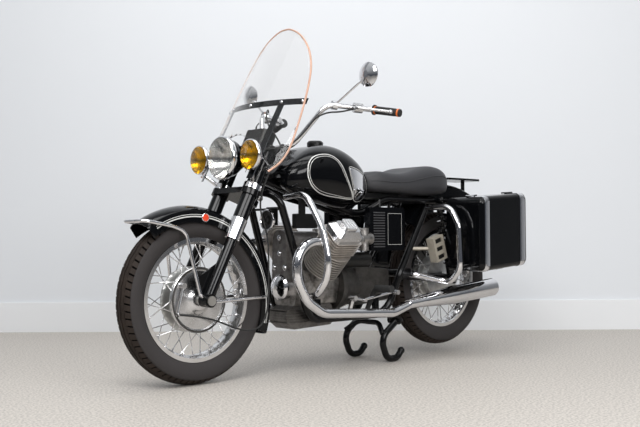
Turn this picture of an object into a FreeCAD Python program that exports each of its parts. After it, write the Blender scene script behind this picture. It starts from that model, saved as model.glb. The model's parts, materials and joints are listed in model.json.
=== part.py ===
import FreeCAD, Part
import math
import os
from functools import lru_cache

# A solo touring motorcycle with a transverse V-twin, windscreen, hard panniers,
# crash bars and a centre stand, as it stands parked on that stand.
# Building frame in millimetres: +X forward from the rear axle, +Y to the rider's
# left, +Z up from the floor. Every piece is moved by SHIFT_X when it is written.

V = FreeCAD.Vector

# Stance
WHEELBASE = 1470.0
REAR_LIFT = 35.0
RAKE_DEG = 26.5
TRAIL = 90.0
RUN_GAP = 0.3
SHAFT_GAP = 0.05
OVERRUN = 20.0

# Tyres and rims
TYRE_R = 328.0
TYRE_HALF_W = 54.0
TYRE_WALL = 9.0
TREAD_HALF_W = 46.0
TREAD_DROP = 15.0
RIM_FLANGE_R = 241.0
RIM_SEAT_R = 229.0
RIM_WELL_R = 219.0
RIM_HALF_W = 35.0
RIM_WALL = 3.5
RIM_WELL_SHARES = (0.62, 0.42)

# Hubs and spokes
AXLE_R = 10.0
SPINDLE_R = 19.0
FRONT_DRUM_R = 128.0
REAR_DRUM_R = 112.0
HUB_HALF_W = 34.0
HUB_WAIST_R = 92.0
HUB_LIP = 6.0
HUB_BOSS_R = 30.0
HUB_BOSS_HALF_W = 50.0
SPOKE_R = 2.0
SPOKES_PER_SIDE = 20
SPOKE_LEAN_DEG = 17.0
SPOKE_HUB_INSET = 3.0
SPOKE_RIM_OFFSET = 7.0
BRAKE_PLATE_T = 9.0
BRAKE_GAP = 1.0
BRAKE_BULGE = 9.0
BRAKE_BULGE_R = 56.0
BRAKE_RIM = 5.0
BRAKE_CAM = (78.0, 58.0)
BRAKE_ARM_L = 112.0
BRAKE_ARM_R = 6.0
BRAKE_ARM_LEAN = 14.0
BRAKE_ANCHOR = (32.0, 92.0)
BRAKE_ANCHOR_H = 150.0

# Fork
FORK_HALF_GAP = 97.0
FORK_SLIDER_R = 22.0
FORK_COLLAR_R = 32.0
FORK_COVER_R = 30.0
FORK_FOOT_R = 26.0
FORK_FOOT_HALF_L = 25.0
COLLAR_LOW_Z = 560.0
COLLAR_TOP_Z = 640.0
LOW_YOKE_Z = 716.0
TOP_YOKE_Z = 897.0
YOKE_T = 26.0
TOP_YOKE_T = 20.0
YOKE_EAR_R = 38.0
STEM_R = 15.0
STEM_BOSS_R = 34.0
HEAD_TUBE_R = 27.0
HEAD_GAP = 1.5
CAP_NUT_R = 19.0
CAP_NUT_H = 14.0

# Front fender
FENDER_R = 390.0
FENDER_FORE = 30.0
FENDER_SINK = 24.0
FENDER_T = 2.5
FENDER_HALF_W = 64.0
FENDER_SKIRT = 68.0
FENDER_CROWN_DROP = 22.0
FENDER_FRONT_DEG = 55.0
FENDER_REAR_DEG = 200.0
STAY_R = 7.0
STAY_NOSE_X = 275.0
STAY_NOSE_Z = 303.0
STAY_BEND = 60.0

# Head lamps
LAMP_SETBACK = 112.0
SPOT_SETBACK = 132.0
HEADLAMP_X = WHEELBASE - LAMP_SETBACK
HEADLAMP_Z = 888.0
HEADLAMP_R = 89.0
HEADLAMP_DEPTH = 140.0
HEADLAMP_RIM = 24.0
SPOT_X = WHEELBASE - SPOT_SETBACK
SPOT_Y = 170.0
SPOT_Z = 891.0
SPOT_R = 61.0
SPOT_DEPTH = 68.0
SPOT_RIM = 16.0
LAMP_BAR_R = 9.0

# Windscreen
SCREEN_SETBACK = 280.0
SCREEN_X = WHEELBASE - SCREEN_SETBACK
SCREEN_Z = 1095.0
SCREEN_SLOPE = 0.546
SCREEN_BOW = 82.0
SCREEN_BOW_Y = 250.0
SCREEN_T = 4.0
SCREEN_TOP_Z = 1458.0
SCREEN_LOW_Z = 824.0
SCREEN_HALF_W = 264.0
SCREEN_ARCH_HALF_W = 134.0
SCREEN_ARCH_Z = 985.0
SCREEN_BAR_H = 26.0
SCREEN_BAR_T = 4.0
SCREEN_BAR_Z = 1112.0
STRUT_Y = 158.0
STRUT_W = 24.0

# Handlebar
BAR_R = 11.0
CLAMP_SETBACK = 430.0
BAR_CLAMP_X = WHEELBASE - CLAMP_SETBACK
BAR_CLAMP_Z = 946.0
BAR_CLAMP_Y = 45.0
BAR_BEND = 70.0
GRIP_R = 16.0
GRIP_L = 122.0
GRIP_IN = (-286.0, 295.0, 157.0)
GRIP_OUT = (-316.0, 410.0, 135.0)
BAR_SHOULDER = (-90.0, 212.0, 171.0)
BAR_FOOT = (0.0, 98.0, 0.0)
LEVER_R = 6.0
MIRROR_R = 50.0
MIRROR_T = 18.0
MIRROR_AT = (-160.0, 386.0, 280.0)
MIRROR_STEM_R = 4.5

# Cables, as routes from the fork's foot or from the handlebar's clamp
CABLE_R = 3.5
CABLE_RUN = 55.0
BRAKE_CABLE = ((19.0, 66.0, -62.0), (-46.0, 80.0, -78.0), (-113.0, 92.0, -106.0), (-190.0, 98.0, -128.0),
               (-262.0, 95.0, -118.0), (-297.0, 92.0, -60.0), (-306.0, 92.0, 40.0), (-304.0, 95.0, 150.0),
               (-284.0, 104.0, 270.0), (-248.0, 108.0, 372.0), (-256.0, 116.0, 430.0), (-290.0, 104.0, 484.0),
               (-350.0, 82.0, 546.0), (-396.0, 70.0, 604.0), (-402.0, 30.0, 660.0), (-428.0, -50.0, 714.0),
               (-478.0, -130.0, 772.0), (-540.0, -196.0, 812.0), (-585.0, -245.0, 812.0), (-606.0, -276.0, 794.0),
               (-613.0, -281.0, 782.0))
LOOM = ((-189.0, 266.0, 154.0), (-130.0, 235.0, 140.0), (-55.0, 205.0, 126.0), (-25.0, 175.0, 79.0),
        (15.0, 150.0, 24.0), (70.0, 148.0, -8.0), (135.0, 148.0, -21.0), (185.0, 128.0, -24.0),
        (208.0, 85.0, -26.0), (218.0, 48.0, -34.0))

# Frame
FRAME_TUBE_R = 16.0
FRAME_BEND = 110.0
CRADLE_Y = 82.0
CRADLE_Z = 216.0
DOWN_TUBE_X = 1026.0
DOWN_TUBE_Y = 110.0
RAIL_Y = 96.0
RAIL_Z = 738.0
RAIL_END_X = -60.0
HANGER_R = 8.0
EAR_X = (880.0, 520.0)
EAR_T = 12.0
SWING_PIVOT_X = 356.0
SWING_PIVOT_Z = 398.0
PIVOT_R = 12.0
SWING_LEFT_Y = 90.0
SWING_RIGHT_Y = 104.0
SWING_LEFT_R = 20.0
SWING_RIGHT_R = 29.0
PIVOT_LUG_Y = 118.0
PIVOT_LUG_T = 8.0
PIVOT_SETBACK = 50.0
AXLE_LUG_R = 27.0
DRIVE_BOX_R = 84.0
DRIVE_BOX_W = 62.0

# Rear shocks
SHOCK_Y = 150.0
SHOCK_TOP = (160.0, 742.0)
SHOCK_FOOT = (74.0, 372.0)
SHOCK_SPRING_R = 27.0
SHOCK_ROD_R = 8.0
SHOCK_BODY_R = 19.0
SHOCK_EYE_R = 16.0
SHOCK_COILS = 9

# Engine
CRANK_Z = 357.0
CYL_X_LEFT = 868.0
CYL_X_RIGHT = 852.0
CYL_ANGLE_DEG = 45.0
CASE_DECK = 104.0
BARREL_START = 112.0
BARREL_END = 236.0
BARREL_R = 52.0
BARREL_FIN_R = 82.0
BARREL_FINS = 10
FIN_T = 3.4
HEAD_END = 312.0
HEAD_HALF_X = 74.0
HEAD_HALF_W = 62.0
HEAD_FINS = 6
ROCKER_H = 62.0
ROCKER_HALF_X = 73.0
ROCKER_HALF_W = 52.0
ROCKER_ROUND = 18.0
ROCKER_RIBS = 4
OIL_LINE_R = 3.5
CASE_FRONT_X = 1000.0
CASE_REAR_X = 760.0
CASE_HALF_W = 80.0
CASE_LOW_Z = 290.0
COVER_FRONT_X = 1030.0
COVER_HALF_W = 50.0
COVER_TOP_Z = 600.0
COVER_LOW_Z = 306.0
DOME_R = 54.0
DOME_H = 22.0
DYNAMO_Z = 546.0
DYNAMO_R = 48.0
DYNAMO_L = 170.0
SUMP_FRONT_X = 1040.0
SUMP_REAR_X = 776.0
SUMP_LOW_Z = 180.0
SUMP_HALF_W = 62.0
SUMP_FINS = 6
BELL_R = 116.0
GEARBOX_REAR_X = 430.0
GEARBOX_HALF_W = 70.0
GEARBOX_LOW_Z = 262.0
GEARBOX_TOP_Z = 440.0
STARTER_Y = 118.0
STARTER_Z = 468.0
STARTER_R = 34.0
STARTER_L = 150.0
CARB_X = 700.0
CARB_Y = 150.0
CARB_Z = 560.0
CARB_R = 26.0

# Exhaust
PIPE_R = 20.0
PIPE_BEND = 120.0
PIPE_FRONT_X = 1104.0
PIPE_RISE = 14.0
HEADER_SHARES = ((0.62, 0.01), (1.0, 0.19), (1.0, 0.50), (0.66, 0.80), (0.10, 0.97))
PIPE_Y = 200.0
PIPE_Z = 231.0
MUFFLER_R = 44.0
MUFFLER_FRONT_X = 442.0
MUFFLER_CONE_X = 120.0
MUFFLER_REAR_X = -200.0
MUFFLER_FRONT_Z = 265.0
MUFFLER_REAR_Z = 318.0

# Tank and seat
TANK_REAR_X = 590.0
TANK_FRONT_SETBACK = 392.0
TANK_FRONT_X = WHEELBASE - TANK_FRONT_SETBACK
TANK_LOW_Z = 690.0
TANK_TOP_Z = 968.0
TANK_HALF_W = 156.0
TANK_CAP_X = 822.0
TANK_CAP_R = 36.0
TANK_CAP_H = 22.0
SEAT_FRONT_X = 584.0
SEAT_REAR_X = 30.0
SEAT_LOW_Z = 764.0
SEAT_TOP_Z = 905.0
SEAT_HALF_W = 142.0

# Side boxes and electrics
COIL_BOX_X = (870.0, 992.0)
COIL_BOX_Y = (40.0, 66.0)
COIL_BOX_Z = (606.0, 668.0)
BOX_FRONT_X = 630.0
BOX_REAR_X = 404.0
BOX_LOW_Z = 506.0
BOX_TOP_Z = 700.0
BOX_IN_Y = 114.0
BOX_OUT_Y = 150.0
LOUVRES = 14
REG_AT = (222.0, 186.0, 512.0)
REG_L = 75.0
REG_H = 115.0
REG_T = 42.0
REG_TILT_DEG = 17.0
REG_SLOTS = 3
HORN_SETBACK = 340.0
HORN_X = WHEELBASE - HORN_SETBACK
HORN_Y = 36.0
HORN_Z = 640.0
HORN_R = 45.0
HORN_T = 30.0

# Guard bars
CRASH_R = 14.0
CRASH_X = 1050.0
CRASH_OUT_Y = 325.0
CRASH_TOP_Z = 750.0
CRASH_LOW_Z = 300.0
CRASH_BEND = 170.0
CRASH_SHARES = ((0.58, 1.0), (0.88, 0.70), (1.0, 0.42), (0.97, 0.22), (0.80, 0.09))
GUARD_X = 200.0
GUARD_OUT_Y = 308.0
GUARD_TOP_Z = 706.0
GUARD_LOW_Z = 362.0
GUARD_BEND = 80.0

# Rear fender, lamp and rack
TAIL_X = -446.0
REAR_FENDER_R = 380.0
REAR_FENDER_X = -30.0
REAR_FENDER_Z = 450.0
REAR_FENDER_HALF_W = 76.0
REAR_FENDER_SKIRT = 70.0
REAR_FENDER_FRONT_DEG = 30.0
REAR_FENDER_REAR_DEG = 182.0
LAMP_Z = 640.0
LAMP_R = 34.0
LAMP_L = 46.0
RACK_FRONT_X = 6.0
RACK_REAR_X = -262.0
RACK_HALF_W = 80.0
RACK_Z = 860.0
RACK_T = 10.0
RACK_POST_X = -210.0
RACK_HOLE_R = 4.5
RACK_HOLE_X = 180.0
RACK_HOLE_Y = 110.0

# Panniers
CASE_X0 = -204.0
CASE_X1 = 154.0
CASE_Z0 = 403.0
CASE_Z1 = 750.0
CASE_RISE = 28.0
CASE_Y0 = 190.0
CASE_Y1 = 312.0
CASE_Y2 = 400.0
CASE_WALL = 3.5
CASE_ROUND = 36.0
CASE_EDGE_R = 24.0
LID_GAP = 0.4
HINGE_R = 6.0
HINGE_PIN_R = 2.5
HINGE_L = 48.0
HINGE_SHARES = (0.32, 0.68)
STRAP_T = 2.0
STRAP_W = 40.0
STRAP_SHARES = (0.09, 0.87)
LATCH_W = 26.0
LATCH_T = 9.0
LATCH_REACH = 24.0

# Foot controls
PEG_X = 601.0
PEG_Y = 250.0
PEG_Z = 340.0
PEG_R = 13.0
PEG_L = 95.0

# Centre stand
STAND_X = 430.0
STAND_Z = 186.0
STAND_Y = 119.0
STAND_R = 15.0
STAND_PIN_R = 9.0
STAND_KNEE = (106.0, -74.0)
STAND_FOOT = (18.0, -171.0)
STAND_TANG = (-28.0, -140.0)
STAND_ARCH_Z = 176.0

REAR_AXLE = V(0, 0, TYRE_R + REAR_LIFT)
FRONT_AXLE = V(WHEELBASE, 0, TYRE_R)
FRONT_X = WHEELBASE + TYRE_R
SHIFT_X = -(FRONT_X + TAIL_X) / 2
TAN_RAKE = math.tan(math.radians(RAKE_DEG))
STEER_X0 = WHEELBASE + TRAIL
STEER_DIR = V(-math.sin(math.radians(RAKE_DEG)), 0, math.cos(math.radians(RAKE_DEG)))
LEG_X0 = WHEELBASE + TYRE_R * TAN_RAKE

X = V(1, 0, 0)
Y = V(0, 1, 0)
Z = V(0, 0, 1)


def steer_point(z, y=0.0):
    """Point of the steering axis at height z."""
    return V(STEER_X0 - z * TAN_RAKE, y, z)


def leg_point(z, side):
    """Point of a fork leg's centre line at height z."""
    return V(LEG_X0 - z * TAN_RAKE, side * FORK_HALF_GAP, z)


def rod(a, b, radius):
    """Round bar from a to b."""
    return Part.makeCylinder(radius, (b - a).Length, a, b - a)


def block(x0, x1, y0, y1, z0, z1):
    """Box between two corners."""
    low = V(min(x0, x1), min(y0, y1), min(z0, z1))
    return Part.makeBox(abs(x1 - x0), abs(y1 - y0), abs(z1 - z0), low)


def bend_edges(points, bend, closed=False):
    """Straight runs joined by tangent arcs, each as large as bend and its runs allow."""
    count = len(points)
    corners = range(count) if closed else range(1, count - 1)
    starts, ends, arcs = {}, {}, {}
    for i in corners:
        here = points[i]
        back = points[i - 1] - here
        ahead = points[(i + 1) % count] - here
        reach = 0.46 * min(back.Length, ahead.Length)
        back.normalize()
        ahead.normalize()
        half_turn = (math.pi - back.getAngle(ahead)) / 2
        radius = min(bend, reach / math.tan(half_turn))
        cut = radius * math.tan(half_turn)
        middle = (back + ahead).normalize()
        centre = here + middle * (radius / math.cos(half_turn))
        ends[i] = here + back * cut
        starts[i] = here + ahead * cut
        arcs[i] = Part.Arc(ends[i], centre - middle * radius, starts[i]).toShape()
    edges = []
    for i in range(count if closed else count - 1):
        j = (i + 1) % count
        edges.append(Part.LineSegment(starts.get(i, points[i]), ends.get(j, points[j])).toShape())
        if j in arcs:
            edges.append(arcs[j])
    return edges


def tube(points, radius, bend):
    """Bent round tube through the points: a bar for each run and a swept disc for each bend."""
    pieces = []
    for edge in bend_edges(points, bend):
        first, last = edge.ParameterRange
        start, way = edge.valueAt(first), edge.tangentAt(first)
        if not isinstance(edge.Curve, Part.Circle):
            pieces.append(Part.makeCylinder(radius, edge.Length, start, way))
        elif edge.Curve.Radius > radius:
            disc = Part.Face(Part.Wire(Part.makeCircle(radius, start, way)))
            pieces.append(disc.revolve(edge.Curve.Center, edge.Curve.Axis, math.degrees(last - first)))
        else:
            corner = start + way * (edge.Curve.Radius * math.tan((last - first) / 2))
            pieces += [rod(start, corner, radius), Part.makeSphere(radius, corner),
                       rod(corner, edge.valueAt(last), radius)]
    return pieces[0].fuse(pieces[1:]) if len(pieces) > 1 else pieces[0]


def slab(points, bend, thickness):
    """Flat plate whose outline has rounded corners, thickened along a vector."""
    face = Part.Face(Part.Wire(bend_edges(points, bend, closed=True)))
    return face.extrude(thickness)


def turned(profile, centre, axis, sweep=360.0, start=None):
    """Solid of revolution: profile lists (along the axis, radius) pairs."""
    along = V(axis).normalize()
    out = start if start is not None else (Z if abs(along.z) < abs(along.x) + abs(along.y) else X)
    out = (out - along * out.dot(along)).normalize()
    corners = [centre + along * a + out * r for a, r in profile]
    face = Part.Face(Part.makePolygon(corners + corners[:1]))
    return face.revolve(centre, along, sweep)


def fuse(shapes):
    """One solid from pieces that meet."""
    joined = shapes[0].fuse(shapes[1:]) if len(shapes) > 1 else shapes[0]
    return joined.removeSplitter()


def both(make):
    """The left and right copies that make(side) returns, as one shape."""
    return Part.makeCompound([make(1), make(-1)])


def mirror(shape):
    """Copy on the right-hand side."""
    return shape.mirror(V(0, 0, 0), Y)


def save(name, shape):
    """Write one sub-part in its place on the finished motorcycle."""
    placed = shape.copy()
    placed.translate(V(SHIFT_X, 0, 0))
    placed.exportStep("parts/" + name + ".step")
    if not placed.isValid():
        print("not valid:", name)


# Wheels

def rim(axle):
    """Rolled steel rim: two flanges, two bead seats and the well."""
    wide, tight = RIM_WELL_SHARES
    flange, seat, well, wall, half = RIM_FLANGE_R, RIM_SEAT_R, RIM_WELL_R, RIM_WALL, RIM_HALF_W
    outer = [(half - wall, flange), (half - wall, seat), (half * wide, seat), (half * tight, well)]
    inner = [(half * tight, well - wall), (half * wide, seat - wall), (half, seat - wall), (half, flange)]
    right = [(-a, r) for a, r in reversed(outer)]
    left = [(-a, r) for a, r in reversed(inner)]
    return turned(outer + right + left + inner, axle, Y)


def tyre(axle):
    """Tyre carcass with a round crown, shoulders and sidewalls down to the rim's seats."""
    bead_y = RIM_HALF_W - RIM_WALL - RUN_GAP
    bead_r = RIM_SEAT_R + RUN_GAP
    neck_r = RIM_FLANGE_R + RUN_GAP
    waist_r = (RIM_FLANGE_R + TYRE_R) / 2
    shoulder_r = TYRE_R - TREAD_DROP

    def skin(inset):
        edge = bead_y - inset
        foot = V(0, edge, bead_r)
        pts = [V(0, edge, neck_r), V(0, TYRE_HALF_W - inset, waist_r), V(0, TREAD_HALF_W - inset, shoulder_r - inset),
               V(0, 0, TYRE_R - inset)]
        back = [V(0, -p.y, p.z) for p in reversed(pts[:3])]
        foot_back = V(0, -edge, bead_r)
        edges = [Part.LineSegment(foot, pts[0]), Part.Arc(pts[0], pts[1], pts[2]), Part.Arc(pts[2], pts[3], back[0]),
                 Part.Arc(back[0], back[1], back[2]), Part.LineSegment(back[2], foot_back)]
        return [e.toShape() for e in edges], foot, foot_back

    outer, out_left, out_right = skin(0)
    inner, in_left, in_right = skin(TYRE_WALL)
    feet = [Part.LineSegment(out_left, in_left).toShape(), Part.LineSegment(out_right, in_right).toShape()]
    wire = Part.Wire(Part.__sortEdges__(outer + inner + feet))
    ring = Part.Face(wire).revolve(V(0, 0, 0), Y, 360)
    ring.translate(axle)
    return ring


def hub(axle, drum_r):
    """Full-width drum hub, bored for the axle."""
    w, lip, boss = HUB_HALF_W, HUB_LIP, HUB_BOSS_HALF_W
    bore = AXLE_R + SHAFT_GAP
    half = [(boss, bore), (boss, HUB_BOSS_R), (w, HUB_BOSS_R), (w, drum_r), (w - lip, drum_r),
            (w - 2 * lip, HUB_WAIST_R)]
    other = [(-a, r) for a, r in reversed(half)]
    return turned(half + other, axle, Y)


def spokes(axle, drum_r):
    """Crossed wire spokes from the drum's lips to the rim's well."""
    wires = []
    hub_y = HUB_HALF_W - HUB_LIP / 2
    for side in (1, -1):
        for i in range(SPOKES_PER_SIDE):
            angle = 360.0 * (i + 0.25 * (1 - side)) / SPOKES_PER_SIDE
            lean = SPOKE_LEAN_DEG * (1 if i % 2 else -1)
            at_hub = math.radians(angle)
            at_rim = math.radians(angle + lean)
            r_hub = drum_r - SPOKE_HUB_INSET
            r_rim = RIM_WELL_R - RIM_WALL / 2
            a = axle + V(r_hub * math.cos(at_hub), side * hub_y, r_hub * math.sin(at_hub))
            b = axle + V(r_rim * math.cos(at_rim), side * SPOKE_RIM_OFFSET, r_rim * math.sin(at_rim))
            wires.append(wire_bar(a, b, SPOKE_R))
    return wires


def wire_bar(a, b, radius):
    """Six-sided bar from a to b, for the thin repeats."""
    along = b - a
    side = along.cross(Y).normalize() * radius
    turn = FreeCAD.Rotation(along, 60)
    ring = []
    for _ in range(6):
        ring.append(a + side)
        side = turn.multVec(side)
    return Part.Face(Part.makePolygon(ring + ring[:1])).extrude(along)


def wheel(axle, drum_r):
    """Rim, spokes and hub as one welded and laced piece."""
    return fuse([hub(axle, drum_r), rim(axle)] + spokes(axle, drum_r))


# Fork and front end

@lru_cache(maxsize=None)
def fork_yokes():
    """Upper and lower yokes on the stem, with the stem's nut."""
    parts = []
    for z, thick in ((LOW_YOKE_Z, YOKE_T), (TOP_YOKE_Z, TOP_YOKE_T)):
        low = -STEER_DIR * (thick / 2)
        rise = STEER_DIR * thick
        centre = steer_point(z) + low
        leg_offset = leg_point(z, 1) - steer_point(z)
        across = V(leg_offset)
        across = across - STEER_DIR * across.dot(STEER_DIR)
        ears = [Part.makeCylinder(YOKE_EAR_R, thick, centre + V(across.x, s * across.y, across.z), rise)
                for s in (1, -1)]
        boss = Part.makeCylinder(STEM_BOSS_R, thick, centre, rise)
        fore = V(across.x, 0, across.z)
        corners = [centre + V(0, STEM_BOSS_R, 0) - fore * 0.5, centre + fore * 1.5 + V(0, across.y, 0),
                   centre + fore * 1.5 - V(0, across.y, 0), centre - V(0, STEM_BOSS_R, 0) - fore * 0.5]
        web = Part.Face(Part.makePolygon(corners + corners[:1])).extrude(rise)
        parts += ears + [boss, web]
    stem = rod(steer_point(LOW_YOKE_Z), steer_point(TOP_YOKE_Z) + STEER_DIR * TOP_YOKE_T, STEM_R)
    nut = Part.makeCylinder(CAP_NUT_R, CAP_NUT_H, steer_point(TOP_YOKE_Z) + STEER_DIR * (TOP_YOKE_T / 2), STEER_DIR)
    legs = [rod(leg_point(COLLAR_TOP_Z, s), leg_point(TOP_YOKE_Z, s) + STEER_DIR * TOP_YOKE_T, FORK_COVER_R)
            for s in (1, -1)]
    clamp = [rod(V(BAR_CLAMP_X, s * BAR_CLAMP_Y, BAR_CLAMP_Z), steer_point(TOP_YOKE_Z, s * BAR_CLAMP_Y), BAR_R * 1.5)
             for s in (1, -1)]
    body = fuse(parts + [stem, nut] + clamp)
    bar = handlebar_path_tube(BAR_R)
    return body.cut(legs + [bar])


@lru_cache(maxsize=None)
def fork_legs():
    """Sliders with their axle feet."""
    def one(side):
        foot = FRONT_AXLE + V(0, side * FORK_HALF_GAP, 0)
        slider = rod(foot, leg_point(COLLAR_LOW_Z, side), FORK_SLIDER_R)
        lug = Part.makeCylinder(FORK_FOOT_R, 2 * FORK_FOOT_HALF_L, foot - Y * FORK_FOOT_HALF_L, Y)
        parts = [slider, lug]
        if side > 0:
            y = foot.y - FORK_SLIDER_R
            web = [V(foot.x, y, foot.z), V(foot.x + BRAKE_ANCHOR[0], y, foot.z + BRAKE_ANCHOR[1] * 0.5),
                   V(foot.x + BRAKE_ANCHOR[0], y, foot.z + BRAKE_ANCHOR[1]),
                   V(leg_point(foot.z + BRAKE_ANCHOR_H, side).x, y, foot.z + BRAKE_ANCHOR_H)]
            parts.append(slab(web, BRAKE_RIM, Y * (BRAKE_RIM * 2)))
        return fuse(parts).cut(axle_bar())
    return both(one)


def axle_bar():
    """Front axle between the fork feet."""
    reach = FORK_HALF_GAP + FORK_FOOT_HALF_L + HUB_LIP
    return Part.makeCylinder(AXLE_R, 2 * reach, FRONT_AXLE - Y * reach, Y)


@lru_cache(maxsize=None)
def front_axle():
    """Axle with its end nuts and the spacers beside the hub."""
    reach = FORK_HALF_GAP + FORK_FOOT_HALF_L
    parts = [axle_bar()]
    for s in (1, -1):
        parts.append(rod(FRONT_AXLE + Y * (s * reach), FRONT_AXLE + Y * (s * (reach + HUB_LIP)), SPINDLE_R))
    spacer_out = FORK_HALF_GAP - FORK_FOOT_HALF_L
    brake_out = HUB_HALF_W + BRAKE_GAP + BRAKE_PLATE_T + BRAKE_BULGE
    parts.append(rod(FRONT_AXLE - Y * (HUB_BOSS_HALF_W + BRAKE_GAP), FRONT_AXLE - Y * spacer_out, SPINDLE_R))
    parts.append(rod(FRONT_AXLE + Y * brake_out, FRONT_AXLE + Y * spacer_out, SPINDLE_R))
    return fuse(parts)


@lru_cache(maxsize=None)
def fork_covers():
    """Upper fork covers between the collars and the top yoke."""
    return both(lambda s: rod(leg_point(COLLAR_TOP_Z, s), leg_point(TOP_YOKE_Z, s) + STEER_DIR * TOP_YOKE_T,
                              FORK_COVER_R))


def fork_collars():
    """Bright collars at the foot of the fork covers."""
    return both(lambda s: rod(leg_point(COLLAR_LOW_Z, s), leg_point(COLLAR_TOP_Z, s), FORK_COLLAR_R))


def brake_lever_end():
    """Free end of the front brake's cam lever."""
    lean = math.radians(BRAKE_ARM_LEAN)
    cam = FRONT_AXLE + V(BRAKE_CAM[0], HUB_HALF_W + BRAKE_GAP + BRAKE_PLATE_T + BRAKE_ARM_R * 1.6, BRAKE_CAM[1])
    return cam + V(math.sin(lean), 0, -math.cos(lean)) * BRAKE_ARM_L


@lru_cache(maxsize=None)
def front_brake():
    """Polished brake plate on the left of the front hub, with its cam lever and anchor."""
    y0 = HUB_HALF_W + BRAKE_GAP
    y1 = y0 + BRAKE_PLATE_T
    r, rim = FRONT_DRUM_R, BRAKE_RIM
    hollow = HUB_BOSS_R + BRAKE_GAP
    profile = [(HUB_BOSS_HALF_W + BRAKE_GAP, AXLE_R), (HUB_BOSS_HALF_W + BRAKE_GAP, hollow), (y0, hollow), (y0, r),
               (y1 - rim * 0.5, r), (y1, r - rim * 0.5), (y1, r - rim * 2),
               (y1 - rim, r - rim * 3), (y1 - rim * 0.4, BRAKE_BULGE_R), (y1 + BRAKE_BULGE, BRAKE_BULGE_R * 0.62),
               (y1 + BRAKE_BULGE, AXLE_R)]
    cover = turned(profile, FRONT_AXLE, Y)
    end = brake_lever_end() - Y * BRAKE_GAP
    cam = FRONT_AXLE + V(BRAKE_CAM[0], end.y, BRAKE_CAM[1])
    parts = [cover, rod(V(cam.x, y0 + rim, cam.z), cam + Y * BRAKE_ARM_R, BRAKE_ARM_R * 1.9), rod(cam, end, BRAKE_ARM_R * 0.9),
             Part.makeSphere(BRAKE_ARM_R * 1.5, end)]
    return fuse(parts)


def fender_shell(centre, radius, half_w, skirt, crown_drop, wall, start_deg, end_deg):
    """Deep valanced mudguard: an arched crown with straight skirts, swept about the axle."""
    def edge_points(inset):
        r = radius - inset
        w = half_w - inset
        return V(0, w, radius - skirt), V(0, w, r - crown_drop), V(0, 0, r)
    low_o, side_o, top_o = edge_points(0)
    low_i, side_i, top_i = edge_points(wall)

    def flip(p):
        return V(0, -p.y, p.z)

    edges = [Part.LineSegment(low_o, side_o).toShape(), Part.Arc(side_o, top_o, flip(side_o)).toShape(),
             Part.LineSegment(flip(side_o), flip(low_o)).toShape(), Part.LineSegment(flip(low_o), flip(low_i)).toShape(),
             Part.LineSegment(flip(low_i), flip(side_i)).toShape(), Part.Arc(flip(side_i), top_i, side_i).toShape(),
             Part.LineSegment(side_i, low_i).toShape(), Part.LineSegment(low_i, low_o).toShape()]
    face = Part.Face(Part.Wire(edges))
    face.rotate(V(0, 0, 0), Y, 90 - start_deg)
    face.translate(centre)
    return face.revolve(centre, -Y, end_deg - start_deg)


def fender_centre():
    """Centre of the front mudguard's arc, a little ahead of the axle and below it."""
    return FRONT_AXLE + V(FENDER_FORE, 0, -FENDER_SINK)


@lru_cache(maxsize=None)
def front_fender():
    """Front mudguard."""
    return fender_shell(fender_centre(), FENDER_R, FENDER_HALF_W, FENDER_SKIRT, FENDER_CROWN_DROP, FENDER_T,
                        FENDER_FRONT_DEG, FENDER_REAR_DEG)


def fender_point(deg, radius, y):
    """Point about the front mudguard's centre at an angle from straight ahead."""
    a = math.radians(deg)
    return fender_centre() + V(radius * math.cos(a), y, radius * math.sin(a))


def fender_stays():
    """Bright loop from the fork's feet round the mudguard's nose, and the two rear stays."""
    side_y = FENDER_HALF_W + STAY_R + RUN_GAP
    low_r = FENDER_R - FENDER_SKIRT
    nose = FRONT_AXLE + V(STAY_NOSE_X, 0, STAY_NOSE_Z)
    foot = FRONT_AXLE + V(FORK_FOOT_R + STAY_R, FORK_HALF_GAP, FORK_FOOT_R)
    left = [foot, fender_point(80.0, low_r - STAY_R * 4, side_y), fender_point(70.0, low_r + STAY_R, side_y),
            V(nose.x - STAY_R * 3, side_y, nose.z), V(nose.x, side_y - STAY_R * 4, nose.z)]
    right = [V(p.x, -p.y, p.z) for p in reversed(left)]
    parts = [tube(left + right, STAY_R, STAY_BEND)]
    for s in (1, -1):
        axle = FRONT_AXLE + V(0, s * FORK_HALF_GAP, 0)
        parts.append(rod(axle, V(foot.x, s * foot.y, foot.z), STAY_R))
        back = axle - X * (FORK_FOOT_R + STAY_R) - Z * STAY_R
        parts.append(rod(axle, back, STAY_R))
        parts.append(rod(back, fender_point(176.0, low_r + STAY_R * 2, s * side_y), STAY_R))
    return Part.makeCompound([fuse(parts).cut([fork_legs(), front_axle()])])


def lamp_shell(centre, radius, depth, lip):
    """Round lamp: lens, rim and bowl, facing forward."""
    lens = [(0, 0), (-lip * 0.3, radius * 0.55), (-lip * 0.8, radius - lip * 0.25), (-lip, radius)]
    bowl = [(-lip * 1.6, radius), (-lip * 1.8, radius * 0.93), (-depth * 0.55, radius * 0.82),
            (-depth * 0.85, radius * 0.5), (-depth, radius * 0.2), (-depth, 0)]
    return turned(lens + bowl, centre, X)


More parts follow.
